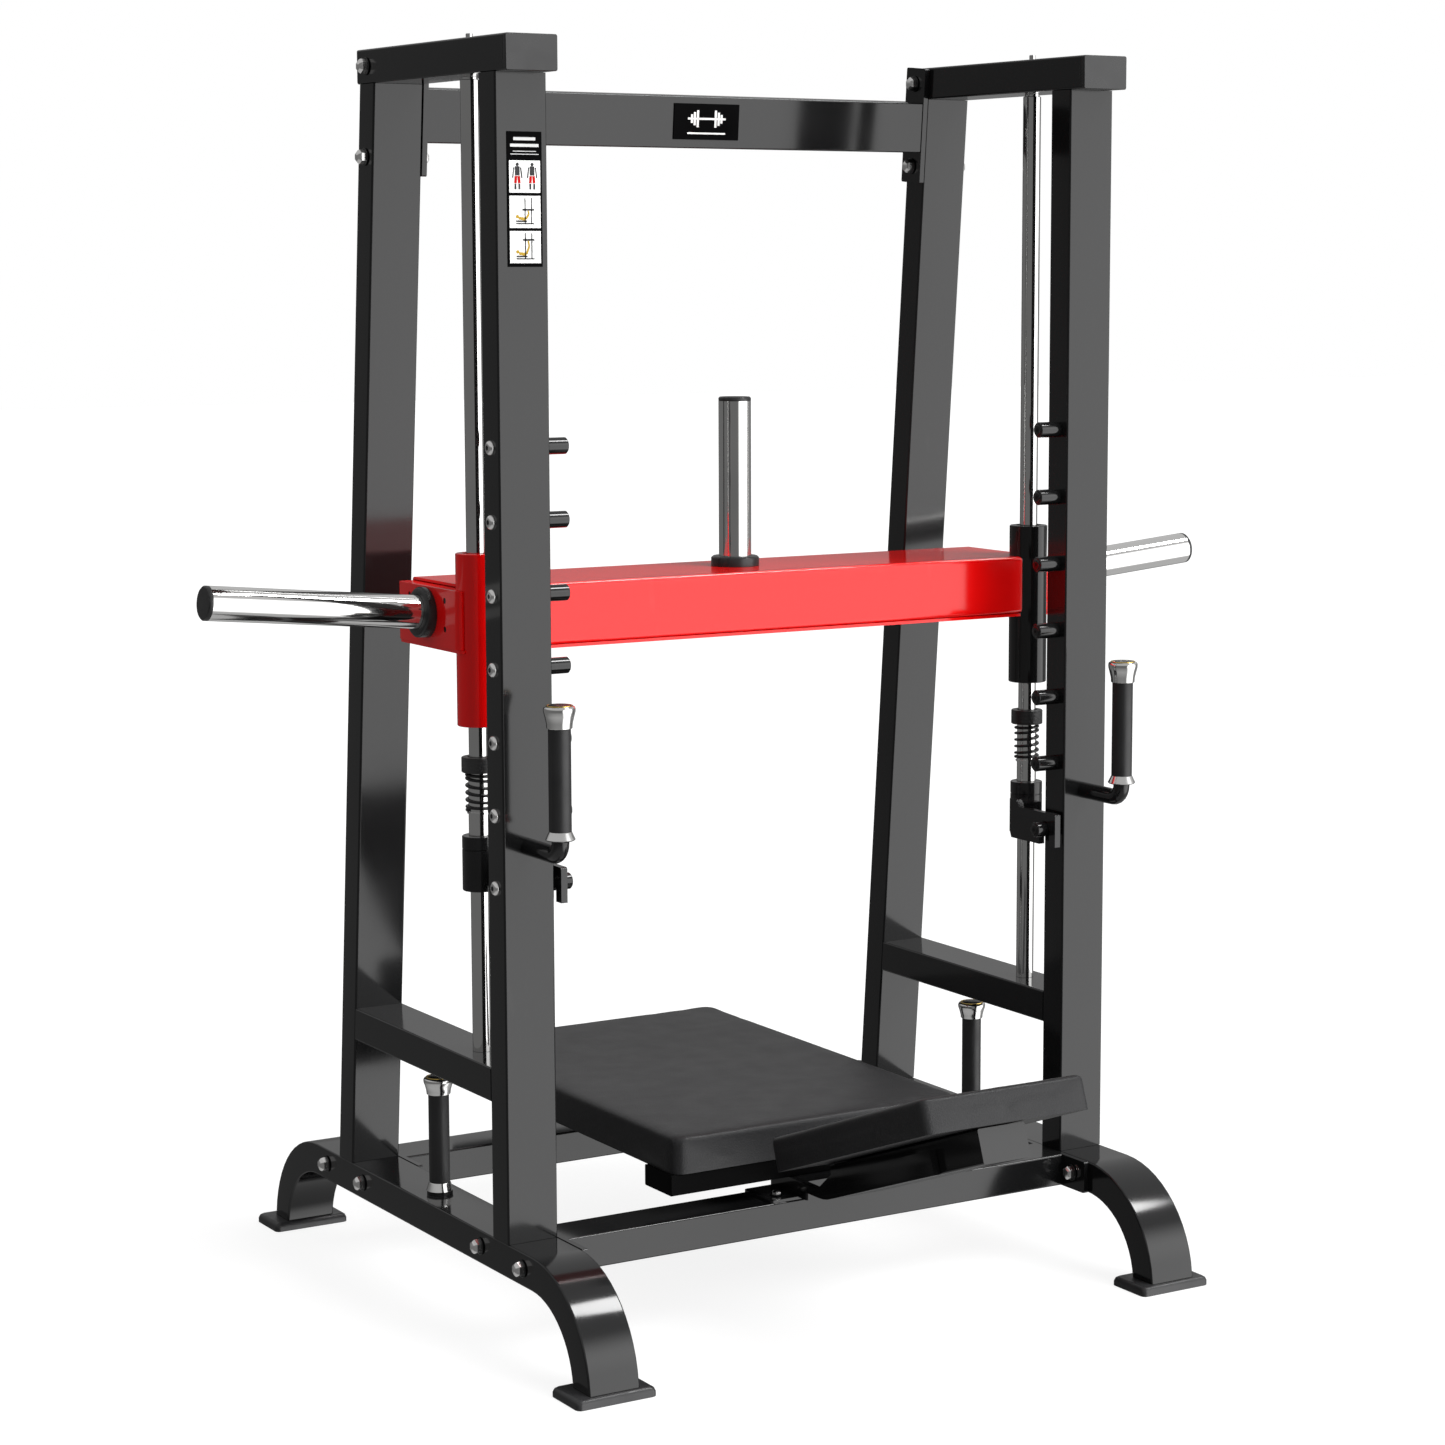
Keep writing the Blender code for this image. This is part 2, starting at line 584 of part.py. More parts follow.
def build_pad_support(frame):
    along = Vector((0, math.cos(HEADREST_TILT), -math.sin(HEADREST_TILT)))
    square = Vector((0, math.sin(HEADREST_TILT), math.cos(HEADREST_TILT)))
    front_top = headrest_frame(HEADREST_LENGTH) + along * ARM_FRONT_FROM_HEADREST_FRONT
    front = front_top - square * (HEADREST_THICK + GAP + TUBE_THIN / 2)
    rear = front + along * ARM_LENGTH
    square_tube("headrest_arm", frame, [rear, front], (1, 0, 0), -along, True)

    plate = box(
        "headrest_bracket", frame, "powder_coat",
        (-MOUNT_PLATE_HALF_LENGTH, FRONT_CROSS_Y - 0.040, BASE_TOP + GAP),
        (MOUNT_PLATE_HALF_LENGTH, FRONT_CROSS_Y + 0.040, MOUNT_TOP), 0.006,
    )
    rail = box(
        "rail_block", frame, "powder_coat", (-RAIL_HALF_WIDTH, RAIL_FRONT_Y, MOUNT_TOP - 0.004),
        (RAIL_HALF_WIDTH, 0.075, RAIL_TOP - GAP), 0.004,
    )
    boolean(plate, rail, "UNION")
    for side, sign in SIDES:
        cheek_middle = sign * (TUBE_WIDE / 2 + GAP + 0.0058)
        low_edge = front - square * (TUBE_THIN / 2)
        profile = []
        for reach, height in ((0.112, 0.0005), (0.112, 0.036), (ARM_LENGTH - 0.020, 0.036)):
            profile.append(low_edge + along * reach + square * height)
        for y, rise in ((-0.072, 0.0130), (0.060, 0.0130), (0.060, 0), (-0.074, 0), (-0.088, 0.0008),
                        (-0.101, 0.0035)):
            profile.append(Vector((0, y, CHEEK_LOW_Z + rise)))
        profile.append(low_edge + along * (ARM_LENGTH - 0.012) + square * 0.0005)
        loops = [
            [point + Vector((cheek_middle + offset, 0, 0)) for point in profile]
            for offset in (-0.0055, 0.0055)
        ]
        cheek = swept(f"rail_cheek_{side}", frame, "powder_coat", loops)
        boolean(plate, cheek, "UNION")

    batten = box(
        "pad_frame", frame, "powder_coat", (-BATTEN_HALF_LENGTH, 0.004, RAIL_TOP),
        (BATTEN_HALF_LENGTH, 0.084, BACK_PAD_BOTTOM - GAP), 0.002, 0,
    )
    spine = box(
        "pad_spine", frame, "powder_coat", (-0.040, 0.070, RAIL_TOP + 0.001),
        (0.040, REAR_CROSS_Y + 0.040, BACK_PAD_BOTTOM - 0.0013), 0.004, 1,
    )
    riser = box(
        "pad_riser", frame, "powder_coat", (-0.038, REAR_CROSS_Y - 0.030, BASE_TOP + GAP),
        (0.038, REAR_CROSS_Y + 0.030, RAIL_TOP + 0.008), 0.004,
    )
    boolean(batten, spine, "UNION")
    boolean(batten, riser, "UNION")


def housing_cutter(name, parent, sign):
    return lathe(
        name, parent, "powder_coat",
        [(HOUSING_RADIUS + GAP, BEAM_BOTTOM - 0.05), (HOUSING_RADIUS + GAP, BEAM_TOP + 0.05)],
        (sign * SIDE_X, ROD_Y), 48,
    )


def build_carriage_body(carriage):
    wide = BEAM_REAR_Y - BEAM_FRONT_Y
    high = BEAM_TOP - BEAM_BOTTOM
    middle = ((BEAM_FRONT_Y + BEAM_REAR_Y) / 2, (BEAM_BOTTOM + BEAM_TOP) / 2)
    outer = rectangle(wide, high, 0.006)
    inner = rectangle(wide - 2 * BEAM_WALL, high - 2 * BEAM_WALL, 0.002)
    ends = [frame_at((x, *middle), (0, 1, 0), (1, 0, 0)) for x in (-BEAM_HALF_LENGTH, BEAM_HALF_LENGTH)]
    beam = swept(
        "carriage_beam", carriage, "red_enamel",
        [placed(outer, end) for end in ends], [placed(inner, end) for end in ends],
    )
    plate = box(
        "foot_plate", carriage, "red_enamel",
        (-FOOT_PLATE_HALF_LENGTH, BEAM_FRONT_Y + 0.002, FOOT_PLATE_BOTTOM),
        (FOOT_PLATE_HALF_LENGTH, BEAM_REAR_Y - 0.002, BEAM_BOTTOM - GAP), 0.008,
    )
    for side, sign in SIDES:
        cutter = housing_cutter(f"housing_cutter_{side}", carriage, sign)
        boolean(beam, cutter, "DIFFERENCE")
        boolean(plate, cutter, "DIFFERENCE")
        build_end_block(side, sign, carriage, cutter)


def build_end_block(side, sign, carriage, cutter):
    inner_x = sign * (BEAM_HALF_LENGTH + GAP)
    outer_x = sign * END_BLOCK_OUTER_X
    block = box(
        f"carriage_end_{side}", carriage, "red_enamel",
        (min(inner_x, outer_x), BEAM_FRONT_Y + 0.004, BEAM_BOTTOM),
        (max(inner_x, outer_x), BEAM_REAR_Y - 0.004, END_BLOCK_TOP), 0.009,
    )
    boolean(block, cutter, "DIFFERENCE")
    for number, (y, z) in enumerate(END_BLOCK_HOLES):
        loops = [
            placed(
                circle(END_BLOCK_HOLE_RADIUS, 12),
                frame_at((outer_x + sign * reach, y, z), (0, 1, 0), (1, 0, 0)),
            )
            for reach in (-0.020, 0.005)
        ]
        hole = swept(f"end_hole_{side}_{number}", carriage, "powder_coat", loops)
        boolean(block, hole, "DIFFERENCE")


def build_bearing(side, sign, carriage):
    finish = "red_enamel" if sign < 0 else "powder_coat"
    centre = (sign * SIDE_X, ROD_Y)
    edge = 0.0012
    shell = [
        (HOUSING_RADIUS - edge, HOUSING_BOTTOM), (HOUSING_RADIUS, HOUSING_BOTTOM + edge),
        (HOUSING_RADIUS, HOUSING_TOP - edge), (HOUSING_RADIUS - edge, HOUSING_TOP),
    ]
    lathe(f"bearing_housing_{side}", carriage, finish, shell, centre, 48, LINER_RADIUS + GAP)
    liner = [(LINER_RADIUS, HOUSING_BOTTOM + 0.002), (LINER_RADIUS, HOUSING_TOP - 0.002)]
    lathe(f"bearing_liner_{side}", carriage, "black_plastic", liner, centre, 32, ROD_BORE_RADIUS)


def build_side_horn(side, sign, carriage):
    along = Vector((sign * math.cos(HORN_TILT), 0, math.sin(HORN_TILT)))
    flat = Vector((sign, 0, 0))
    root = Vector((sign * (END_BLOCK_OUTER_X + GAP), HORN_Y, HORN_ROOT_Z))
    length = (HORN_END_X - END_BLOCK_OUTER_X) / math.cos(HORN_TILT)

    def loop(radius, reach, direction, steps=40):
        return placed(circle(radius, steps), frame_at(root + along * reach, (0, 1, 0), direction))

    horn_end = length - HORN_CAP_LENGTH - GAP
    swept(
        f"side_horn_{side}", carriage, "chrome",
        [loop(HORN_RADIUS, 0, flat), loop(HORN_RADIUS, horn_end, along)],
    )
    swept(
        f"side_horn_cap_{side}", carriage, "black_plastic",
        [loop(HORN_RADIUS, horn_end + GAP, along), loop(HORN_RADIUS, length - 0.002, along),
         loop(HORN_RADIUS - 0.002, length, along)],
    )
    hole = HORN_RADIUS + 0.0005
    swept(
        f"side_horn_collar_{side}", carriage, "black_plastic",
        [loop(COLLAR_RADIUS, 0, flat), loop(COLLAR_RADIUS, COLLAR_LENGTH - 0.003, along),
         loop(COLLAR_RADIUS - 0.003, COLLAR_LENGTH, along)],
        [loop(hole, 0, flat), loop(hole, COLLAR_LENGTH, along)],
    )


def build_centre_horn(carriage):
    centre = (0, CENTRE_HORN_Y)
    root = BEAM_TOP + GAP
    top = CENTRE_HORN_TOP
    edge = 0.002
    horn = [(HORN_RADIUS, root), (HORN_RADIUS, top - HORN_CAP_LENGTH - GAP)]
    lathe("centre_horn", carriage, "chrome", horn, centre)
    cap = [(HORN_RADIUS, top - HORN_CAP_LENGTH), (HORN_RADIUS, top - edge), (HORN_RADIUS - edge, top)]
    lathe("centre_horn_cap", carriage, "black_plastic", cap, centre)
    collar = [
        (COLLAR_RADIUS, root), (COLLAR_RADIUS, root + 0.012), (COLLAR_RADIUS - 0.003, root + COLLAR_LENGTH),
    ]
    lathe("centre_horn_collar", carriage, "black_plastic", collar, centre, 40, HORN_RADIUS + 0.0005)


def hook_outline():
    """The hook plate's side view: an upside-down U over the lowest peg, and a taller root."""
    slot_top = PEG_LOWEST_Z
    points = [(0.117, STOP_BOTTOM + 0.010), (0.113, STOP_BOTTOM), (PEG_Y + HOOK_SLOT_RADIUS, STOP_BOTTOM)]
    for step in range(9):
        angle = math.pi * step / 8
        y = PEG_Y + HOOK_SLOT_RADIUS * math.cos(angle)
        points.append((y, slot_top + HOOK_SLOT_RADIUS * math.sin(angle)))
    points += [
        (PEG_Y - HOOK_SLOT_RADIUS, STOP_BOTTOM), (-0.004, STOP_BOTTOM), (-0.004, 0.7085),
        (-0.0015, 0.7110), (0.092, 0.7110), (0.100, 0.7210), (0.117, 0.7210),
    ]
    return points


def build_stop(side, sign, stop, bumper):
    x = sign * SIDE_X
    edge = 0.001
    profile = [
        (STOP_COLLAR_RADIUS - edge, STOP_BOTTOM), (STOP_COLLAR_RADIUS, STOP_BOTTOM + edge),
        (STOP_COLLAR_RADIUS, STOP_GROOVE_Z - edge), (STOP_COLLAR_RADIUS - edge, STOP_GROOVE_Z - 0.0004),
        (STOP_COLLAR_RADIUS - edge, STOP_GROOVE_Z + 0.0004), (STOP_COLLAR_RADIUS, STOP_GROOVE_Z + edge),
        (STOP_COLLAR_RADIUS, STOP_COLLAR_TOP - edge),
        (STOP_COLLAR_RADIUS - edge, STOP_COLLAR_TOP), (SLEEVE_RADIUS, STOP_COLLAR_TOP),
        (SLEEVE_RADIUS, SEAT_BOTTOM), (SEAT_RADIUS, SEAT_BOTTOM), (SEAT_RADIUS, SEAT_TOP),
        (SLEEVE_RADIUS, SEAT_TOP), (SLEEVE_RADIUS, RING_BOTTOM - GAP),
    ]
    hook = lathe(f"stop_hook_{side}", stop, "powder_coat", profile, (x, ROD_Y))
    plate_loops = [
        [Vector((sign * reach, y, z)) for y, z in hook_outline()]
        for reach in (HOOK_INNER_X, HOOK_OUTER_X)
    ]
    plate = swept(f"hook_plate_{side}", stop, "powder_coat", plate_loops)
    lug_loops = [
        [Vector((sign * across, y, z)) for across, y in HOOK_LUG_PLAN] for z in (STOP_BOTTOM + 0.003, 0.7150)
    ]
    lug = swept(f"hook_lug_{side}", stop, "powder_coat", lug_loops)
    bore = lathe(
        f"hook_bore_{side}", stop, "powder_coat",
        [(ROD_BORE_RADIUS, STOP_BOTTOM - 0.01), (ROD_BORE_RADIUS, RING_BOTTOM + 0.01)], (x, ROD_Y),
    )
    boolean(hook, lug, "UNION")
    boolean(hook, plate, "UNION")
    boolean(hook, bore, "DIFFERENCE")
    build_spring(side, sign, stop)
    ring = [
        (RING_RADIUS - edge, RING_BOTTOM), (RING_RADIUS, RING_BOTTOM + edge),
        (RING_RADIUS, RING_TOP - edge), (RING_RADIUS - edge, RING_TOP),
    ]
    lathe(f"bumper_ring_{side}", bumper, "rubber", ring, (x, ROD_Y), 40, SLEEVE_RADIUS + 0.0005)


def build_spring(side, sign, stop):
    """A coil with closed end turns. The two sides' coils are mirror images."""
    low = SEAT_TOP + GAP + SPRING_WIRE_RADIUS
    high = RING_BOTTOM - GAP - SPRING_WIRE_RADIUS
    closed_rise = SPRING_CLOSED_PITCH * SPRING_CLOSED_TURNS
    free_rise = high - low - 2 * closed_rise
    turns = 2 * SPRING_CLOSED_TURNS + SPRING_FREE_TURNS
    steps = round(turns * SPRING_STEPS_PER_TURN)
    centres = []
    for step in range(steps + 1):
        turn = turns * step / steps
        if turn < SPRING_CLOSED_TURNS:
            rise = SPRING_CLOSED_PITCH * turn
        elif turn < SPRING_CLOSED_TURNS + SPRING_FREE_TURNS:
            rise = closed_rise + free_rise * (turn - SPRING_CLOSED_TURNS) / SPRING_FREE_TURNS
        else:
            rise = high - low - SPRING_CLOSED_PITCH * (turns - turn)
        angle = 2 * math.pi * turn
        across = Vector((sign * math.cos(angle), math.sin(angle), 0))
        centre = Vector((sign * SIDE_X, ROD_Y, low + rise)) + across * SPRING_RADIUS
        ahead = Vector((-sign * math.sin(angle), math.cos(angle), 0))
        centres.append(frame_at(centre, across, ahead))
    loops = [placed(circle(SPRING_WIRE_RADIUS, SPRING_SIDES), item) for item in centres]
    swept(f"stop_spring_{side}", stop, "spring_steel", loops)


def axis_empty(name, datum, root):
    """An empty on a joint's axis. Its pieces are moved back by the same amount."""
    holder = empty(name, datum, root)
    holder["from_datum"] = datum
    return holder


def main():
    clear_scene()
    root = empty("machine", (0, ORIGIN_SHIFT_Y, 0))
    carriage = axis_empty("carriage", (0, HORN_Y, (BEAM_BOTTOM + BEAM_TOP) / 2), root)
    build_cross_members(root)
    build_pads(root)
    build_pad_support(root)
    build_carriage_body(carriage)
    build_centre_horn(carriage)
    for side, sign in SIDES:
        build_base_tube(side, sign, root)
        build_foot_pads(side, sign, root)
        build_front_upright(side, sign, root)
        build_rear_upright(side, sign, root)
        build_top_tube(side, sign, root)
        build_lower_rail(side, sign, root)
        build_guide_rod(side, sign, root)
        build_front_handle(side, sign, root)
        build_base_grip(side, sign, root)
        build_bearing(side, sign, carriage)
        build_side_horn(side, sign, carriage)
        stop = axis_empty(f"stop_{side}", (sign * SIDE_X, ROD_Y, STOP_BOTTOM), root)
        bumper = axis_empty(f"bumper_{side}", (sign * SIDE_X, ROD_Y, RING_BOTTOM), root)
        build_stop(side, sign, stop, bumper)
    bpy.context.view_layer.update()


main()
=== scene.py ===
import math

import bmesh
import bpy
import numpy as np
from mathutils import Matrix, Vector


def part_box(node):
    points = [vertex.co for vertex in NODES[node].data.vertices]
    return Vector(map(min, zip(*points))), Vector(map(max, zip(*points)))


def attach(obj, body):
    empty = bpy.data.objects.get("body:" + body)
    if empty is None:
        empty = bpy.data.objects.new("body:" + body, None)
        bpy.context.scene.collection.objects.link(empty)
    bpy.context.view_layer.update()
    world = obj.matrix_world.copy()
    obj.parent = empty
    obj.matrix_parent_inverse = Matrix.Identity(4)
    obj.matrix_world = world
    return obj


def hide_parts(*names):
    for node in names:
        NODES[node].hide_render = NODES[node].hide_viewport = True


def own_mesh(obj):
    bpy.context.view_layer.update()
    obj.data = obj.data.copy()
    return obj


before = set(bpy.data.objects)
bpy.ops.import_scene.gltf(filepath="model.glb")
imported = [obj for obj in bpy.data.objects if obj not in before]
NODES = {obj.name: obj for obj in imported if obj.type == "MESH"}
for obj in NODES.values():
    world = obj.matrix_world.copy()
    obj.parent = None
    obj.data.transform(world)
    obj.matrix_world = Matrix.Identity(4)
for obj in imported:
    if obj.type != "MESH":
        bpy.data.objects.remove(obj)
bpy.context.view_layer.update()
SIDES = (("left", -1), ("right", 1))
CLEAR = 0.0003  # gap between a piece and the face it stands on
TUBE_THIN = 0.050  # the frame tube is 80 by 50 mm
SMOOTH_BELOW = math.radians(50)  # edges with a sharper bend stay sharp


# ---------------------------------------------------------------- places read from the CAD
def middle(node):
    """The middle of a CAD node's box."""
    low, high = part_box(node)
    return (low + high) / 2


UPRIGHT_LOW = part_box("front_upright_right")[0]
FRONT_Y = UPRIGHT_LOW.y
REAR_LOW, REAR_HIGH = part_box("rear_upright_right")
REAR_LEAN = (REAR_HIGH.y - REAR_LOW.y - TUBE_THIN) / (REAR_HIGH.z - REAR_LOW.z)
SIDE_X = middle("top_tube_right").x
OUTER_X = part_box("top_tube_right")[1].x
INNER_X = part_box("top_tube_right")[0].x
ROD_Y = middle("guide_rod_right").y
BASE_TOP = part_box("front_cross_member")[1].z


# ---------------------------------------------------------------- materials
class Paint:
    """A node material that is built up in steps: colour, roughness and relief from patterns."""

    def __init__(self, name, colour, roughness, metallic=0.0):
        self.material = bpy.data.materials.new(name)
        self.material.use_nodes = True
        self.tree = self.material.node_tree
        self.shader = self.tree.nodes["Principled BSDF"]
        self.set("Base Color", (*colour, 1.0))
        self.set("Roughness", roughness)
        self.set("Metallic", metallic)
        self.coords = self.tree.nodes.new("ShaderNodeTexCoord").outputs["Object"]
        self.height = None

    def set(self, socket, value):
        self.shader.inputs[socket].default_value = value

    def node(self, kind, **values):
        made = self.tree.nodes.new(kind)
        for key, value in values.items():
            setattr(made, key, value)
        return made

    def link(self, out, into):
        self.tree.links.new(out, into)

    def stretched(self, factors):
        """Object coordinates scaled along each axis, for a grain with a direction."""
        mapping = self.node("ShaderNodeMapping")
        mapping.inputs["Scale"].default_value = factors
        self.link(self.coords, mapping.inputs["Vector"])
        return mapping.outputs["Vector"]

    def noise(self, scale, detail, stretch=None):
        made = self.node("ShaderNodeTexNoise")
        made.inputs["Scale"].default_value = scale
        made.inputs["Detail"].default_value = detail
        self.link(self.stretched(stretch) if stretch else self.coords, made.inputs["Vector"])
        return made.outputs["Fac"]

    def cells(self, scale):
        made = self.node("ShaderNodeTexVoronoi", feature="F1")
        made.inputs["Scale"].default_value = scale
        self.link(self.coords, made.inputs["Vector"])
        return made.outputs["Distance"]

    def ramp(self, value, low, high, out_low=0.0, out_high=1.0):
        made = self.node("ShaderNodeMapRange")
        made.clamp = True
        for key, number in (("From Min", low), ("From Max", high), ("To Min", out_low), ("To Max", out_high)):
            made.inputs[key].default_value = number
        self.link(value, made.inputs["Value"])
        return made.outputs["Result"]

    def mixed(self, mask, first, second):
        """Goes from first to second with the mask; each is a socket or a plain colour."""
        made = self.node("ShaderNodeMix", data_type="RGBA")
        self.link(mask, made.inputs["Factor"])
        for value, slot in ((first, made.inputs[6]), (second, made.inputs[7])):
            if isinstance(value, bpy.types.NodeSocket):
                self.link(value, slot)
            else:
                slot.default_value = (*value, 1.0)
        return made.outputs[2]

    def colour(self, socket):
        self.link(socket, self.shader.inputs["Base Color"])

    def rough(self, socket):
        self.link(socket, self.shader.inputs["Roughness"])

    def relief(self, height, depth, strength):
        """Adds a bump on top of the ones made before."""
        made = self.node("ShaderNodeBump")
        made.inputs["Strength"].default_value = strength
        made.inputs["Distance"].default_value = depth
        self.link(height, made.inputs["Height"])
        if self.height is not None:
            self.link(self.height, made.inputs["Normal"])
        self.height = made.outputs["Normal"]
        self.link(self.height, self.shader.inputs["Normal"])

    def axis(self, name):
        made = self.node("ShaderNodeSeparateXYZ")
        self.link(self.coords, made.inputs["Vector"])
        return made.outputs[name]


def worn(paint, base, darker, wear):
    """Large cloudy patches, and small scuffs that are a little lighter."""
    clouds = paint.ramp(paint.noise(3.5, 4.0), 0.35, 0.65)
    scuffs = paint.ramp(paint.noise(26.0, 8.0, (1.0, 1.0, 0.25)), 0.66, 0.80)
    body = paint.mixed(clouds, base, darker)
    return paint.mixed(scuffs, body, wear)


def coated_steel(name, base, darker, wear, roughness, dull, gloss=0.5):
    """Powder coat whose gloss varies in patches, with a very fine orange peel."""
    paint = Paint(name, base, roughness)
    paint.set("Specular IOR Level", gloss)
    paint.colour(worn(paint, base, darker, wear))
    paint.rough(paint.ramp(paint.noise(9.0, 5.0), 0.3, 0.75, roughness, dull))
    paint.relief(paint.noise(1100.0, 2.0), 0.00003, 0.05)
    return paint.material


def polished(name, tint, roughness, dull, grain):
    """Bright metal with a faint polishing grain; grain is the stretch of its pattern along each axis."""
    paint = Paint(name, tint, roughness, 1.0)
    clouds = paint.ramp(paint.noise(7.0, 3.0), 0.35, 0.7)
    paint.colour(paint.mixed(clouds, tint, tuple(0.93 * c for c in tint)))
    paint.rough(paint.ramp(paint.noise(60.0, 6.0, grain), 0.3, 0.7, roughness, dull))
    paint.relief(paint.noise(420.0, 2.0, grain), 0.00004, 0.06)
    return paint.material


def rubbery(name, base, roughness, grain, depth):
    """Rubber or plastic with a fine grain, mottled a little in colour and gloss."""
    paint = Paint(name, base, roughness)
    clouds = paint.ramp(paint.noise(14.0, 5.0), 0.3, 0.7)
    paint.colour(paint.mixed(clouds, base, tuple(1.5 * c for c in base)))
    paint.rough(paint.ramp(paint.noise(35.0, 4.0), 0.3, 0.7, roughness - 0.07, roughness + 0.08))
    paint.relief(paint.noise(grain, 4.0), depth, 0.5)
    return paint.material


def ribbed_rubber(name, base, roughness, pitch, depth):
    """Rubber with fine rings round a vertical axis, one at each pitch of height."""
    paint = Paint(name, base, roughness)
    wave = paint.node("ShaderNodeMath", operation="SINE")
    turns = paint.node("ShaderNodeMath", operation="MULTIPLY")
    turns.inputs[1].default_value = 2 * math.pi / pitch
    paint.link(paint.axis("Z"), turns.inputs[0])
    paint.link(turns.outputs[0], wave.inputs[0])
    clouds = paint.ramp(paint.noise(18.0, 5.0), 0.3, 0.7)
    paint.colour(paint.mixed(clouds, base, tuple(1.6 * c for c in base)))
    paint.rough(paint.ramp(paint.noise(50.0, 4.0), 0.3, 0.7, roughness - 0.08, roughness + 0.08))
    paint.relief(wave.outputs[0], depth, 0.8)
    paint.relief(paint.noise(900.0, 3.0), 0.0001, 0.4)
    return paint.material


def grained_vinyl(name):
    """Upholstery vinyl: a relief of small cells over a finer grain, with the colour painted darker in the
    relief's low parts as painted shade.
    """
    paint = Paint(name, (0.030, 0.030, 0.031), 0.42)
    paint.set("Specular IOR Level", 0.30)
    grain = paint.ramp(paint.cells(420.0), 0.0, 0.9)
    fine = paint.noise(1500.0, 3.0)
    clouds = paint.ramp(paint.noise(3.0, 3.0), 0.30, 0.70)
    deep = paint.mixed(clouds, (0.024, 0.024, 0.025), (0.021, 0.021, 0.022))
    # Painted shade: the colour goes darker where the cell relief is low, as if shade fell in the grain's
    # hollows.
    paint.colour(paint.mixed(grain, (0.016, 0.016, 0.017), deep))
    paint.rough(paint.ramp(paint.noise(22.0, 4.0), 0.3, 0.7, 0.38, 0.44))
    paint.relief(grain, 0.00050, 0.45)
    paint.relief(fine, 0.0001, 0.30)
    return paint.material


def split_steel(name, black, chrome_from):
    """Black coated steel up to a height, and bright metal above it."""
    paint = Paint(name, black, 0.3)
    bright = paint.ramp(paint.axis("Z"), chrome_from, chrome_from + 0.0004)
    clouds = paint.ramp(paint.noise(12.0, 4.0), 0.35, 0.65)
    coat = paint.mixed(clouds, black, tuple(1.4 * c for c in black))
    paint.colour(paint.mixed(bright, coat, (0.80, 0.795, 0.785)))
    paint.link(bright, paint.shader.inputs["Metallic"])
    paint.rough(paint.ramp(paint.noise(40.0, 4.0), 0.3, 0.7, 0.10, 0.20))
    paint.relief(paint.noise(700.0, 3.0), 0.00003, 0.08)
    return paint.material


FRAME_COAT = coated_steel(
    "frame_coat", (0.0090, 0.0091, 0.0094), (0.0074, 0.0075, 0.0078), (0.0170, 0.0170, 0.0172), 0.09, 0.14
)
MATTE_COAT = coated_steel(
    "matte_coat", (0.0016, 0.0016, 0.0017), (0.0012, 0.0012, 0.0013), (0.0040, 0.0040, 0.0041),
    0.50, 0.60, 0.04,
)
RED_COAT = coated_steel(
    "red_coat", (0.950, 0.0035, 0.0035), (0.910, 0.0030, 0.0030), (0.950, 0.0120, 0.0110), 0.08, 0.13
)
ROD_CHROME = polished("rod_chrome", (0.80, 0.795, 0.785), 0.06, 0.10, (1.0, 1.0, 0.05))
HORN_CHROME = polished("horn_chrome", (0.86, 0.855, 0.845), 0.05, 0.10, (0.05, 1.0, 1.0))
BRIGHT_CHROME = polished("bright_chrome", (0.84, 0.835, 0.82), 0.06, 0.11, (1.0, 1.0, 0.4))
BOLT_STEEL = polished("bolt_steel", (0.92, 0.91, 0.90), 0.16, 0.26, (1.0, 1.0, 1.0))
DARK_STEEL = polished("dark_steel", (0.030, 0.030, 0.031), 0.24, 0.36, (1.0, 1.0, 1.0))
SPRING_WIRE = coated_steel(
    "spring_wire", (0.0075, 0.0075, 0.0080), (0.0055, 0.0055, 0.0060), (0.0160, 0.0160, 0.0165),
    0.22, 0.34, 0.40,
)
BRASS_LINE = polished("brass_line", (0.85, 0.60, 0.16), 0.14, 0.24, (1.0, 1.0, 1.0))
GRIP_RUBBER = rubbery("grip_rubber", (0.011, 0.011, 0.0115), 0.46, 900.0, 0.00012)
FOOT_RUBBER = rubbery("foot_rubber", (0.020, 0.020, 0.021), 0.40, 420.0, 0.00012)
BLACK_NYLON = rubbery("black_nylon", (0.012, 0.012, 0.0125), 0.30, 380.0, 0.00006)
RING_RUBBER = ribbed_rubber("ring_rubber", (0.010, 0.010, 0.0105), 0.42, 0.0022, 0.0003)
PAD_VINYL = grained_vinyl("pad_vinyl")
# Heights where the black paint of a part ends and its bright metal begins.
STOP_BRIGHT_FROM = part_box("stop_hook_left")[0].z + 0.0808
HANDLE_BRIGHT_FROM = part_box("front_handle_grip_left")[0].z - 0.0132
POST_BRIGHT_FROM = BASE_TOP + 0.0050
STOP_STEEL = split_steel("stop_steel", (0.010, 0.010, 0.0105), STOP_BRIGHT_FROM)
HANDLE_STEEL = split_steel("handle_steel", (0.0085, 0.0085, 0.0090), HANDLE_BRIGHT_FROM)
POST_STEEL = split_steel("post_steel", (0.010, 0.010, 0.0105), POST_BRIGHT_FROM)

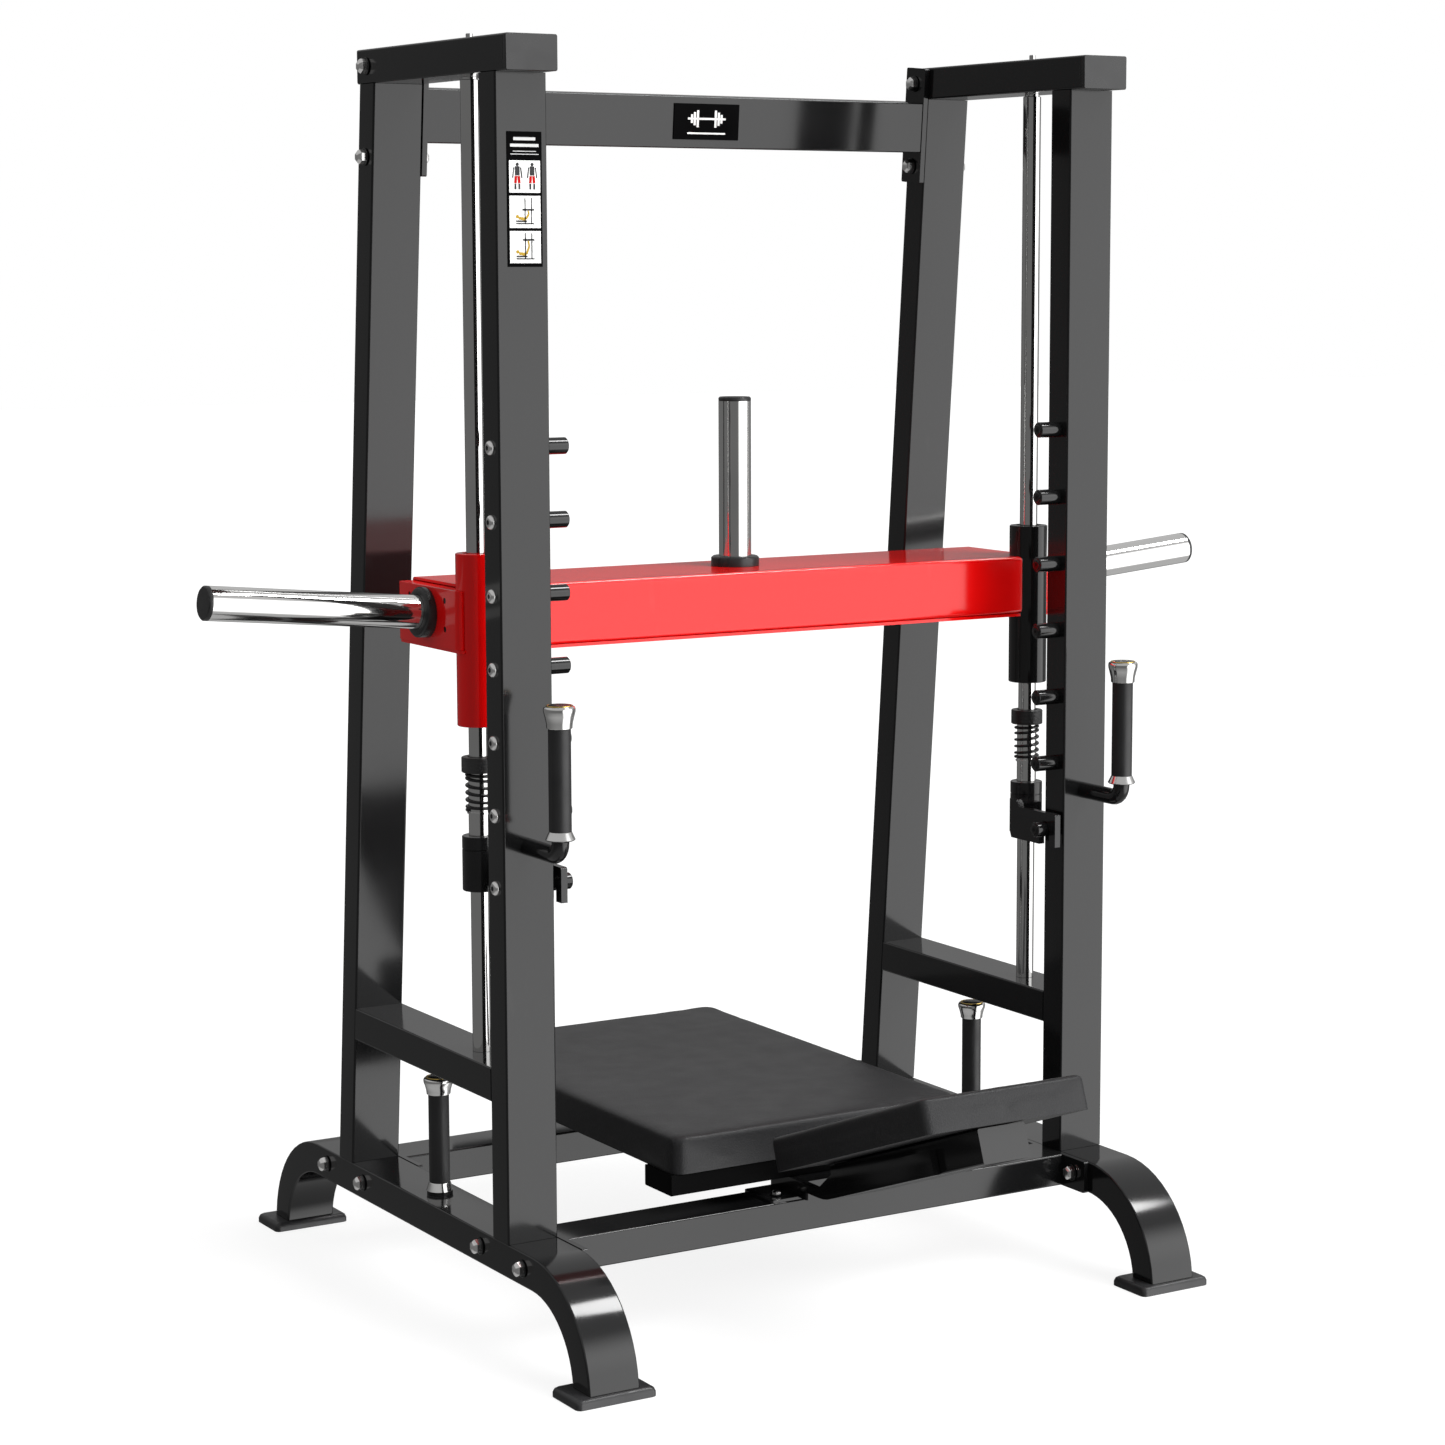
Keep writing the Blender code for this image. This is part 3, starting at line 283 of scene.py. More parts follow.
# The first row that a node's name starts with gives its material.
NODE_MATERIALS = (
    (("guide_rod",), ROD_CHROME),
    (("side_horn_cap", "side_horn_collar", "centre_horn_cap", "centre_horn_collar"), BLACK_NYLON),
    (("top_tube_cap",), BLACK_NYLON),
    (("side_horn", "centre_horn"), HORN_CHROME),
    (("carriage_", "foot_plate", "bearing_housing_left"), RED_COAT),
    (("bearing_housing_right",), FRAME_COAT),
    (("bearing_liner",), BLACK_NYLON),
    (("base_grip_post",), POST_STEEL),
    (("front_handle_cap",), BRIGHT_CHROME),
    (("front_handle_bar",), HANDLE_STEEL),
    (("base_grip_sleeve", "front_handle_grip"), GRIP_RUBBER),
    (("foot_pad",), FOOT_RUBBER),
    (("stop_hook",), STOP_STEEL),
    (("stop_spring",), SPRING_WIRE),
    (("bumper_ring",), RING_RUBBER),
    (("back_pad", "headrest_pad"), PAD_VINYL),
    (("pad_frame",), MATTE_COAT),
    (("",), FRAME_COAT),
)


def paint_nodes():
    """Gives every CAD node its material."""
    for name, node in NODES.items():
        material = next(paint for starts, paint in NODE_MATERIALS if name.startswith(starts))
        for slot in node.material_slots:
            slot.link = "OBJECT"
            slot.material = material


def smooth_group():
    """Geometry nodes that weld a node's split points and shade it smooth up to an angle."""
    group = bpy.data.node_groups.new("smooth_by_angle", "GeometryNodeTree")
    for way in ("INPUT", "OUTPUT"):
        group.interface.new_socket("Geometry", in_out=way, socket_type="NodeSocketGeometry")
    start = group.nodes.new("NodeGroupInput")
    plain = group.nodes.new("GeometryNodeRemoveAttribute")
    plain.inputs["Name"].default_value = "custom_normal"
    weld = group.nodes.new("GeometryNodeMergeByDistance")
    weld.inputs["Distance"].default_value = 0.00002
    faces = group.nodes.new("GeometryNodeSetShadeSmooth")
    faces.domain = "FACE"
    edges = group.nodes.new("GeometryNodeSetShadeSmooth")
    edges.domain = "EDGE"
    angle = group.nodes.new("GeometryNodeInputMeshEdgeAngle")
    compare = group.nodes.new("FunctionNodeCompare")
    compare.operation = "LESS_THAN"
    compare.inputs[1].default_value = SMOOTH_BELOW
    end = group.nodes.new("NodeGroupOutput")
    row = (start, plain, weld, faces, edges, end)
    for before, after in zip(row, row[1:]):
        group.links.new(before.outputs[0], after.inputs[0])
    group.links.new(angle.outputs[0], compare.inputs[0])
    group.links.new(compare.outputs[0], edges.inputs["Shade Smooth"])
    return group


def smooth_nodes():
    """Round faces look round and flat faces stay flat on every CAD node; no point moves."""
    group = smooth_group()
    for node in NODES.values():
        smooth = node.modifiers.new("smooth", "NODES")
        smooth.node_group = group
        weighted = node.modifiers.new("weighted", "WEIGHTED_NORMAL")
        weighted.mode = "FACE_AREA_WITH_ANGLE"
        weighted.keep_sharp = True


# ---------------------------------------------------------------- mesh helpers
def piece(name, points, faces, body, material, angle=32):
    """A new visible piece on a body; edges sharper than the angle stay sharp."""
    mesh = bpy.data.meshes.new(name)
    mesh.from_pydata([tuple(point) for point in points], [], faces)
    mesh.validate()
    work = bmesh.new()
    work.from_mesh(mesh)
    bmesh.ops.recalc_face_normals(work, faces=work.faces)
    work.to_mesh(mesh)
    work.free()
    mesh.materials.append(material)
    mesh.shade_smooth()
    mesh.set_sharp_from_angle(angle=math.radians(angle))
    item = bpy.data.objects.new(name, mesh)
    bpy.context.scene.collection.objects.link(item)
    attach(item, body)
    return item


def on_axis(centre, along):
    """A matrix that stands local +Z on a direction at a point."""
    z = Vector(along).normalized()
    x = Vector((0, 0, 1)) if abs(z.z) < 0.9 else Vector((1, 0, 0))
    x = (x - z * x.dot(z)).normalized()
    return Matrix.Translation(Vector(centre)) @ Matrix((x, z.cross(x), z)).transposed().to_4x4()


def loops_to_mesh(loops, closed_ring=False):
    """Points and faces through loops of equal length, with both ends capped unless it is a ring."""
    count = len(loops[0])
    points = [point for loop in loops for point in loop]
    faces = []
    rows = len(loops)
    for row in range(rows if closed_ring else rows - 1):
        here = row * count
        there = (row + 1) % rows * count
        for i in range(count):
            faces.append((here + i, here + (i + 1) % count, there + (i + 1) % count, there + i))
    if not closed_ring:
        faces.append(tuple(range(count)))
        faces.append(tuple(range((rows - 1) * count, rows * count)))
    return points, faces


def turned(profile, place, steps=40):
    """Loops round local Z from (radius, height) pairs; few steps give a polygon."""
    loops = []
    for radius, height in profile:
        turn = [2 * math.pi * i / steps for i in range(steps)]
        loops.append([place @ Vector((radius * math.cos(a), radius * math.sin(a), height)) for a in turn])
    return loops


def joined(name, parts, body, material, angle=32):
    """One piece from several (points, faces) shells."""
    points = []
    faces = []
    for some_points, some_faces in parts:
        start = len(points)
        points += some_points
        faces += [tuple(start + i for i in face) for face in some_faces]
    return piece(name, points, faces, body, material, angle)


def washer_shell(centre, along, radius=0.0128):
    """A flat washer with eased edges."""
    edge = 0.0006
    profile = [(radius - edge, CLEAR), (radius, CLEAR + 0.0005), (radius, 0.0018), (radius - edge, 0.0022)]
    return loops_to_mesh(turned(profile, on_axis(centre, along)))


def hex_shell(centre, along, radius=0.0108, height=0.0085):
    """A hexagon head with chamfered corners that stands on its washer, with a shallow domed top."""
    washer_top = 0.0024
    rows = [(1.0, 0.0), (1.0, 0.55), (0.88, 0.76), (0.66, 0.91), (0.34, 1.0)]
    profile = [(radius * r, washer_top + height * h) for r, h in rows]
    return loops_to_mesh(turned(profile, on_axis(centre, along), 6))


def dome_shells(centre, along, radius, height):
    """A dome screw head, and a thin dark hexagon on its top: painted shade for the socket in its middle."""
    place = on_axis(centre, along)
    rim = 0.18  # the straight rim's share of the height
    flat = 0.40  # the flat top's share of the radius
    profile = [(radius, CLEAR), (radius, height * rim)]
    for step in range(1, 7):
        angle = math.pi / 2 * step / 7
        out = flat + (1 - flat) * math.cos(angle)
        up = rim + (1 - rim) * math.sin(angle)
        profile.append((radius * out, height * up))
    profile.append((radius * flat, height))
    # Painted shade: a thin dark hexagon stands for the shadow inside the head's socket.
    socket = [(radius * 0.36, height + 0.0001), (radius * 0.36, height + 0.0003)]
    return loops_to_mesh(turned(profile, place, 36)), loops_to_mesh(turned(socket, place, 6))


def box_shell(low, high, bevel=0.0005):
    """A block with a small bevel on every edge."""
    work = bmesh.new()
    bmesh.ops.create_cube(work, size=1.0)
    size = Vector(high) - Vector(low)
    centre = (Vector(high) + Vector(low)) / 2
    for vertex in work.verts:
        vertex.co = Vector(a * b for a, b in zip(vertex.co, size)) + centre
    bmesh.ops.bevel(work, geom=work.edges[:], offset=bevel, segments=2, affect="EDGES")
    work.verts.ensure_lookup_table()
    points = [vertex.co.copy() for vertex in work.verts]
    faces = [tuple(vertex.index for vertex in face.verts) for face in work.faces]
    work.free()
    return points, faces


# ---------------------------------------------------------------- fasteners
def bolts():
    """Bolt heads on both faces of each side frame where the cross members' end plates meet it."""
    spread = 0.0665
    base_z = 0.147
    top_heights = (1.850, 1.719)
    end_plate = 0.0083
    places = []
    for node in ("front_cross_member", "rear_cross_member"):
        for step in (-1, 1):
            places.append((middle(node).y + step * spread, base_z))
    for height in top_heights:
        down = REAR_HIGH.z - min(height, REAR_HIGH.z)
        places.append((REAR_LOW.y + TUBE_THIN / 2 + down * REAR_LEAN, height))
    for side, sign in SIDES:
        washers = []
        heads = []
        for y, z in places:
            outer = (sign * OUTER_X, sign, 0.0125)
            inner = (sign * (INNER_X - end_plate), -sign, 0.0115)
            for x, direction, tall in (outer, inner):
                washers.append(washer_shell((x, y, z), (direction, 0, 0)))
                heads.append(hex_shell((x, y, z), (direction, 0, 0), height=tall))
        joined(f"bolt_washers_{side}", washers, "frame", DARK_STEEL)
        joined(f"bolt_heads_{side}", heads, "frame", BOLT_STEEL, 20)


def peg_screws():
    """Screws that hold the stop pegs: a dome head outside the upright and a socket head in each peg's end."""
    pegs = 7
    lowest_peg = 0.6855
    peg_pitch = 0.1039
    peg_y = FRONT_Y + TUBE_THIN / 2
    for side, sign in SIDES:
        # Which end of the pegs, where its face is and looks, and the head's radius, height and finish.
        for end, x, direction, radius, height, material, slot in (
            ("outer", sign * OUTER_X, sign, 0.0105, 0.0062, BOLT_STEEL, "rod_chrome"),
            ("inner", sign * UPRIGHT_LOW.x, -sign, 0.0085, 0.0014, FRAME_COAT, "frame_coat"),
        ):
            heads = []
            socket_shades = []
            for number in range(pegs):
                place = (x, peg_y, lowest_peg + number * peg_pitch)
                dome, socket = dome_shells(place, (direction, 0, 0), radius, height)
                heads.append(dome)
                socket_shades.append(socket)
            joined(f"peg_screw_heads_{end}_{side}", heads, "frame", material)
            # The dark hexagons are painted shade for the screws' sockets.
            joined(f"peg_screw_sockets_{end}_{side}", socket_shades, "frame", DARK_STEEL, 20)


def mount_screws():
    """The two screws that hold the headrest bracket's mount plate on the front cross member."""
    plate_thick = 0.0045
    plate_top = BASE_TOP + plate_thick
    screw_x = 0.074
    screw_y = middle("front_cross_member").y - 0.016
    washers = []
    heads = []
    for sign in (-1, 1):
        place = ((sign * screw_x, screw_y, plate_top), (0, 0, 1))
        washers.append(washer_shell(*place, 0.0092))
        heads.append(hex_shell(*place, 0.0072, 0.0055))
    joined("mount_washers", washers, "frame", DARK_STEEL)
    joined("mount_heads", heads, "frame", BOLT_STEEL, 20)


def end_hole_painted_shade():
    """Dark sleeves inside the four holes in each end block: painted shade where the holes' insides fall in
    shadow.
    """
    radius = 0.00425
    depth = 0.0150
    inset = 0.0008
    behind_rod = (0.027, 0.143)
    above_bottom = (0.027, 0.0685)
    for side, sign in SIDES:
        low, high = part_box(f"carriage_end_{side}")
        outer_x = high.x if sign > 0 else low.x
        shade_tubes = []
        for behind in behind_rod:
            for above in above_bottom:
                centre = (outer_x - sign * inset, ROD_Y + behind, low.z + above)
                place = on_axis(centre, (-sign, 0, 0))
                # Painted shade: a dark sleeve lines each hole where its inside falls in shadow.
                shade_tubes.append(loops_to_mesh(turned([(radius, 0), (radius, depth)], place, 24)))
        joined(f"end_hole_painted_shade_{side}", shade_tubes, "carriage", DARK_STEEL)


def end_slot_shades():
    """A narrow dark strip on each top tube's side, just behind its plastic end plug: painted shade that
    stands for a slot there.
    """
    plug = 0.0020
    proud = 0.0002
    wide = 0.0016
    reach = 0.010
    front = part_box("top_tube_right")[0].y + plug
    height = middle("top_tube_right").z
    for side, sign in SIDES:
        strips = []
        for x in (sign * OUTER_X, sign * INNER_X):
            low = (x - proud, front, height - reach)
            strips.append(box_shell(low, (x + proud, front + wide, height + reach), 0.0001))
        # Painted shade: the dark strips stand for the shadow inside the slot.
        joined(f"end_slot_shades_{side}", strips, "frame", BLACK_NYLON)


def handle_trim():
    """A dark insert and a thin brass line in the top of each flared cap."""
    insert = [(0.0158, CLEAR), (0.0158, 0.0009), (0.0150, 0.0014), (0.0040, 0.0017)]
    line = [(0.0164, CLEAR), (0.0190, CLEAR), (0.0188, 0.0011), (0.0168, 0.0011)]
    for side, _ in SIDES:
        for number, node in enumerate((f"front_handle_cap_{side}", f"base_grip_post_{side}")):
            low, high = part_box(node)
            place = on_axis(((low.x + high.x) / 2, (low.y + high.y) / 2, high.z), (0, 0, 1))
            points, faces = loops_to_mesh(turned(insert, place, 48))
            piece(f"cap_insert_{side}_{number}", points, faces, "frame", BLACK_NYLON)
            points, faces = loops_to_mesh(turned(line, place, 48), closed_ring=True)
            piece(f"cap_line_{side}_{number}", points, faces, "frame", BRASS_LINE)


# ---------------------------------------------------------------- springs
def coil_loops(low, high, centre_x, sign):
    """Loops along a coil with closed end turns that fills a height. The two sides mirror each other."""
    wire = 0.002
    closed_pitch = 0.0047
    closed_turns = 1.15
    free_turns = 4.0
    steps = 300
    corners = 14
    turns = 2 * closed_turns + free_turns
    radius = (high.y - low.y) / 2 - wire
    height = high.z - low.z - 2 * wire
    loops = []
    for step in range(steps + 1):
        turn = turns * step / steps
        if turn < closed_turns:
            rise = closed_pitch * turn
        elif turn < closed_turns + free_turns:
            share = (turn - closed_turns) / free_turns
            rise = closed_pitch * closed_turns + (height - 2 * closed_pitch * closed_turns) * share
        else:
            rise = height - closed_pitch * (turns - turn)
        angle = 2 * math.pi * turn
        loop = []
        for i in range(corners):
            around = 2 * math.pi * i / corners
            out = radius + wire * math.cos(around)
            x = centre_x + sign * out * math.cos(angle)
            y = ROD_Y + out * math.sin(angle)
            loop.append((x, y, low.z + wire + rise + wire * math.sin(around)))
        loops.append(loop)
    return loops


def springs():
    """Each stop's spring as a fine coil on its stop, in place of the CAD spring."""
    for side, sign in SIDES:
        node = f"stop_spring_{side}"
        low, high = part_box(node)
        centre_x = sign * SIDE_X
        points, faces = loops_to_mesh(coil_loops(low, high, centre_x, sign))
        coil = piece(f"spring_coil_{side}", points, faces, f"stop_{side}", SPRING_WIRE, 60)
        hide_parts(node)
        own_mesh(coil)


# ---------------------------------------------------------------- pads
PAD_EXTRA = 0.012  # how far a slab reaches below z = 0 before it is cut there
FIT = 0.004  # how much smaller than its CAD solid a slab starts
HEADREST_TILT = math.radians(20)
HEADREST_THICK = 0.051
HEADREST_LENGTH = 0.4243


def rounded_slab(name, size, corner, soft):
    """A slab with rounded corners in plan and an eased top, which reaches below z = 0."""
    wide, deep, thick = size
    steps = 8
    least_radius = 0.004
    ease = soft * 0.3
    loops = []
    for inset, z in ((0, -PAD_EXTRA), (0, thick - soft), (ease, thick - ease), (soft, thick)):
        loop = []
        radius = max(corner - inset, least_radius)
        for quarter, (sx, sy) in enumerate(((1, 1), (-1, 1), (-1, -1), (1, -1))):
            for step in range(steps + 1):
                angle = math.pi / 2 * (quarter + step / steps)
                x = sx * (wide / 2 - inset - radius) + radius * math.cos(angle)
                y = sy * (deep / 2 - inset - radius) + radius * math.sin(angle)
                loop.append(Vector((x, y, z)))
        loops.append(loop)
    points, faces = loops_to_mesh(loops)
    mesh = bpy.data.meshes.new(name)
    mesh.from_pydata([tuple(point) for point in points], [], faces)
    mesh.validate()
    item = bpy.data.objects.new(name, mesh)
    bpy.context.scene.collection.objects.link(item)
    return item


def apply_all(item):
    """Makes the modifiers' result the object's own mesh."""
    graph = bpy.context.evaluated_depsgraph_get()
    mesh = bpy.data.meshes.new_from_object(item.evaluated_get(graph), depsgraph=graph)
    item.modifiers.clear()
    item.data = mesh


def points_of(item):
    """The object's points, one row each, in its own coordinates."""
    points = np.empty(len(item.data.vertices) * 3)
    item.data.vertices.foreach_get("co", points)
    return points.reshape(-1, 3)


def swell(item, voxel, cap):
    """Remeshes a slab, lets cloth with air pressure round it within a cap, and cuts it flat at z = 0."""
    remesh = item.modifiers.new("even", "REMESH")
    remesh.mode = "VOXEL"
    remesh.voxel_size = voxel
    apply_all(item)
    before = points_of(item)
    cloth = item.modifiers.new("cloth", "CLOTH")
    settings = cloth.settings
    settings.use_pressure = True
    settings.uniform_pressure_force = 4.0
    settings.effector_weights.gravity = 0.0
    settings.tension_stiffness = 40.0
    settings.compression_stiffness = 40.0
    settings.bending_stiffness = 2.0
    last_frame = 20
    cloth.point_cache.frame_start = 1
    cloth.point_cache.frame_end = last_frame
    for number in range(1, last_frame + 1):
        bpy.context.scene.frame_set(number)
    apply_all(item)
    bpy.context.scene.frame_set(1)
    move = points_of(item) - before
    far = np.linalg.norm(move, axis=1, keepdims=True)
    after = before + move * np.minimum(1.0, cap / np.maximum(far, 1e-9))
    item.data.vertices.foreach_set("co", after.ravel())
    smooth = item.modifiers.new("smooth", "SMOOTH")
    smooth.factor = 0.5
    smooth.iterations = 2
    fine = item.modifiers.new("fine", "SUBSURF")
    fine.levels = 1
    fine.render_levels = 1
    apply_all(item)
    flat_base(item)


def flat_base(item):
    """Cuts a pad at z = 0 and closes it with a flat base, as it lies on its board."""
    work = bmesh.new()
    work.from_mesh(item.data)
    everything = work.verts[:] + work.edges[:] + work.faces[:]
    cut = bmesh.ops.bisect_plane(work, geom=everything, dist=1e-6, plane_no=(0, 0, 1), clear_inner=True)
    rim = [element for element in cut["geom_cut"] if isinstance(element, bmesh.types.BMEdge)]
    bmesh.ops.contextual_create(work, geom=rim)
    bmesh.ops.recalc_face_normals(work, faces=work.faces)
    work.to_mesh(item.data)
    work.free()
    item.data.shade_smooth()
    item.data.set_sharp_from_angle(angle=SMOOTH_BELOW)


def fit_to(item, size):
    """Scales a swollen pad to the room its CAD solid holds, standing on z = 0."""
    points = points_of(item)
    low = points.min(0)
    high = points.max(0)
    foot = np.array(((low[0] + high[0]) / 2, (low[1] + high[1]) / 2, low[2]))
    points = (points - foot) * (np.array(size) / (high - low))
    item.data.vertices.foreach_set("co", points.ravel())
    item.data.update()


def pad(name, size, corner, soft, voxel, cap):
    """A swollen pad of a size, with its base's middle at the origin."""
    item = rounded_slab(name, [length - FIT for length in size], corner, soft)
    swell(item, voxel, cap)
    fit_to(item, size)
    return item


def pads():
    """The flat back pad, and the headrest pad, which is tilted in its mesh and centred in its CAD box."""
    low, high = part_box("back_pad")
    back = pad("back_pad_cover", high - low, corner=0.022, soft=0.006, voxel=0.005, cap=0.002)
    back.matrix_world = Matrix.Translation(((low.x + high.x) / 2, (low.y + high.y) / 2, low.z))
    finish_pad(back, "back_pad")

    low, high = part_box("headrest_pad")
    size = (high.x - low.x, HEADREST_LENGTH, HEADREST_THICK)
    head = pad("headrest_cover", size, corner=0.012, soft=0.005, voxel=0.004, cap=0.0008)
    head.data.transform(Matrix.Rotation(-HEADREST_TILT, 4, "X"))
    points = points_of(head)
    shift = (points.min(0) + points.max(0)) / 2
    centre = (low + high) / 2
    head.matrix_world = Matrix.Translation((centre.x, centre.y - shift[1], centre.z - shift[2]))
    finish_pad(head, "headrest_pad")


def finish_pad(item, node):
    """Covers a pad in vinyl, puts it on the frame and hides the CAD node that it stands for."""
    item.data.materials.clear()
    item.data.materials.append(PAD_VINYL)
    bpy.context.view_layer.update()
    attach(item, "frame")
    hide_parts(node)


# ---------------------------------------------------------------- plates with no lettering
def label_ink(name, base):
    """A flat printed colour with no shine."""
    material = rubbery(name, base, 0.55, 300.0, 0.00003)
    material.node_tree.nodes["Principled BSDF"].inputs["Specular IOR Level"].default_value = 0.0
    return material


LABEL_BLACK = label_ink("label_black", (0.0030, 0.0030, 0.0032))
LABEL_WHITE = label_ink("label_white", (0.80, 0.80, 0.79))
LABEL_INK = label_ink("label_ink", (0.045, 0.045, 0.047))
LABEL_PALE = label_ink("label_pale", (0.55, 0.55, 0.55))
LABEL_RED = label_ink("label_red", (0.45, 0.012, 0.012))
LABEL_GOLD = label_ink("label_gold", (0.42, 0.27, 0.04))
INK = 0.0002  # how far a printed stroke stands out
PANEL = 0.0003  # how far a printed panel stands out


def front_plate(low_x, high_x, low_z, high_z, depth, y, slope=0.0, pivot_z=0.0):
    """A thin plate on a face that looks towards -Y. A leaning face passes y at the pivot's height."""
    bevel = min(0.0004, depth * 0.3)
    points, faces = box_shell((low_x, y - depth, low_z), (high_x, y, high_z), bevel)
    return [p + Vector((0, (p.z - pivot_z) * slope, 0)) for p in points], faces


def disc(x, z, radius, y):
    """A printed dot on a face that looks towards -Y."""
    place = on_axis((x, y, z), (0, -1, 0))
    return loops_to_mesh(turned([(radius, 0), (radius, INK)], place, 24))


def bar(start, end, width, y):
    """A thin flat stroke between two (x, z) points on a face that looks towards -Y."""
    a = Vector((start[0], 0, start[1]))
    b = Vector((end[0], 0, end[1]))
    along = (b - a).normalized()
    side = Vector((along.z, 0, -along.x)) * width / 2
    outline = [a - side, a + side, b + side, b - side]
    loops = [[point + Vector((0, y - reach, 0)) for point in outline] for reach in (0.0, INK)]
    return loops_to_mesh(loops)


def standing_figure(x, bottom, ink):
    """A plain standing figure: head, trunk, arms and legs in dark strokes, and thighs in red."""
    dark = [disc(x, bottom + 0.0375, 0.0024, ink)]
    dark.append(bar((x, bottom + 0.0350), (x, bottom + 0.0225), 0.0072, ink))
    red = []
    for side in (-1, 1):
        shoulder = (x + side * 0.0052, bottom + 0.0335)
        hand = (x + side * 0.0072, bottom + 0.0190)
        hip = (x + side * 0.0022, bottom + 0.0218)
        knee = (x + side * 0.0030, bottom + 0.0120)
        foot = (x + side * 0.0030, bottom + 0.0035)
        dark.append(bar(shoulder, hand, 0.0018, ink))
        red.append(bar(hip, knee, 0.0040, ink))
        dark.append(bar((knee[0], knee[1] - 0.0006), foot, 0.0028, ink))
    return dark, red


def lying_figure(x, bottom, lift, ink):
    """A plain side view of a machine: two posts, a bar lifted to a height, a bench and a lying figure."""
    dark = []
    for post_x in (x, x + 0.010):
        dark.append(bar((post_x, bottom + 0.005), (post_x, bottom + 0.040), 0.0017, ink))
    dark.append(bar((x - 0.004, bottom + lift), (x + 0.014, bottom + lift), 0.0026, ink))
    dark.append(bar((x - 0.014, bottom + 0.0050), (x + 0.014, bottom + 0.0050), 0.0018, ink))
    dark.append(bar((x - 0.0140, bottom + 0.0082), (x + 0.0030, bottom + 0.0082), 0.0022, ink))
    neck = (x - 0.0100, bottom + 0.0125)
    knee = (x + 0.0060, bottom + 0.5 * (0.013 + lift))
    foot = (x + 0.0045, bottom + lift - 0.0015)
    gold = [disc(x - 0.0120, bottom + 0.0145, 0.0024, ink)]
    gold.append(bar(neck, (x + 0.0015, bottom + 0.0110), 0.0040, ink))
    gold.append(bar((x + 0.0015, bottom + 0.0115), knee, 0.0030, ink))
    gold.append(bar(knee, foot, 0.0026, ink))
    return dark, gold


def placard():
    """A picture label on the left front upright: three plain panels with simple figures, and no words."""
    x = -0.485
    low, high = 1.559, 1.744
    half = 0.027
    thick = 0.0010
    y = FRONT_Y - CLEAR
    plate = front_plate(x - half, x + half, low, high, thick, y)
    joined("placard", [plate], "frame", LABEL_BLACK)
    face = y - thick
    ink = face - PANEL
    panel_half = 0.0240
    panel_height = 0.0440
    panel_pitch = 0.0482
    first_bottom = high - 0.0835
    lifts = (0.024, 0.031)
    panels = []
    dark = []
    red = []
    gold = []
    for number in range(3):
        bottom = first_bottom - number * panel_pitch
        panels.append(front_plate(x - panel_half, x + panel_half, bottom, bottom + panel_height, PANEL, face))
        if number == 0:
            for shift in (-0.0115, 0.0115):
                strokes, thighs = standing_figure(x + shift, bottom + 0.001, ink)
                dark += strokes
                red += thighs
        else:
            strokes, body = lying_figure(x, bottom + 0.001, lifts[number - 1], ink)
            dark += strokes
            gold += body
    # The lines at the top: how far down each one is, how far it reaches from the middle, and its width.
    heading = ((0.010, 0.017, 0.0042), (0.019, 0.022, 0.0042), (0.027, 0.018, 0.0010), (0.031, 0.022, 0.0010))
    pale = []
    for down, reach, width in heading:
        pale.append(bar((x - reach, high - down), (x + reach, high - down), width, face))
    joined("placard_panels", panels, "frame", LABEL_WHITE)
    joined("placard_lines", pale, "frame", LABEL_PALE)
    joined("placard_strokes", dark, "frame", LABEL_INK)
    joined("placard_thighs", red, "frame", LABEL_RED)
    joined("placard_bodies", gold, "frame", LABEL_GOLD)


def badge():
    """A plain plate on the upper cross member, with a simple barbell shape and a line under it."""
    left, right = -0.022, 0.095
    bottom, top = 1.753, 1.808
    thick = 0.0016
    centre = (left + right) / 2
    bar_z = 1.785
    half_bar = 0.034
    half_disc = 0.0019
    line_bottom, line_top = 1.7615, 1.7640
    lean = (-REAR_LEAN, REAR_HIGH.z)
    y = REAR_LOW.y - CLEAR
    face = y - thick
    plate = front_plate(left, right, bottom, top, thick, y, *lean)
    joined("badge", [plate], "frame", LABEL_BLACK)
    shapes = [(centre, half_bar, bar_z - 0.0015, bar_z + 0.0015)]
    for reach, tall in ((0.0160, 0.0130), (0.0215, 0.0100), (0.0265, 0.0065)):
        for sign in (-1, 1):
            shapes.append((centre + sign * reach, half_disc, bar_z - tall, bar_z + tall))
    shapes.append((centre, half_bar, line_bottom, line_top))
    mark = [front_plate(x - half, x + half, low, high, PANEL, face, *lean) for x, half, low, high in shapes]
    joined("badge_mark", mark, "frame", LABEL_WHITE)


# ---------------------------------------------------------------- studio
# The room's brightness in each direction, with a soft bright patch in front on the right.
KEY_TOWARDS = (0.60, -0.80, -0.08)
KEY = 2.75
HORIZON = 0.18
SKY = 0.58
GROUND = 0.50
RIGHT_SIDE = 0.12
# The broad sun lights surfaces, and the small one only glints on rounded edges.
SUN = 2.9
SUN_DEGREES = 40
SUN_FROM = (0.36, -0.60, 0.72)
EDGE_LIGHT = 0.9
EDGE_LIGHT_DEGREES = 14
EDGE_LIGHT_FROM = (0.50, -0.26, 0.83)


def studio():
    """Everything that lights the machine, and the floor."""
    bpy.context.scene.view_settings.view_transform = "Standard"
    room()
    sun_lamp("key", SUN, SUN_DEGREES, SUN_FROM)
    sun_lamp("edge", EDGE_LIGHT, EDGE_LIGHT_DEGREES, EDGE_LIGHT_FROM)
    pale_floor()


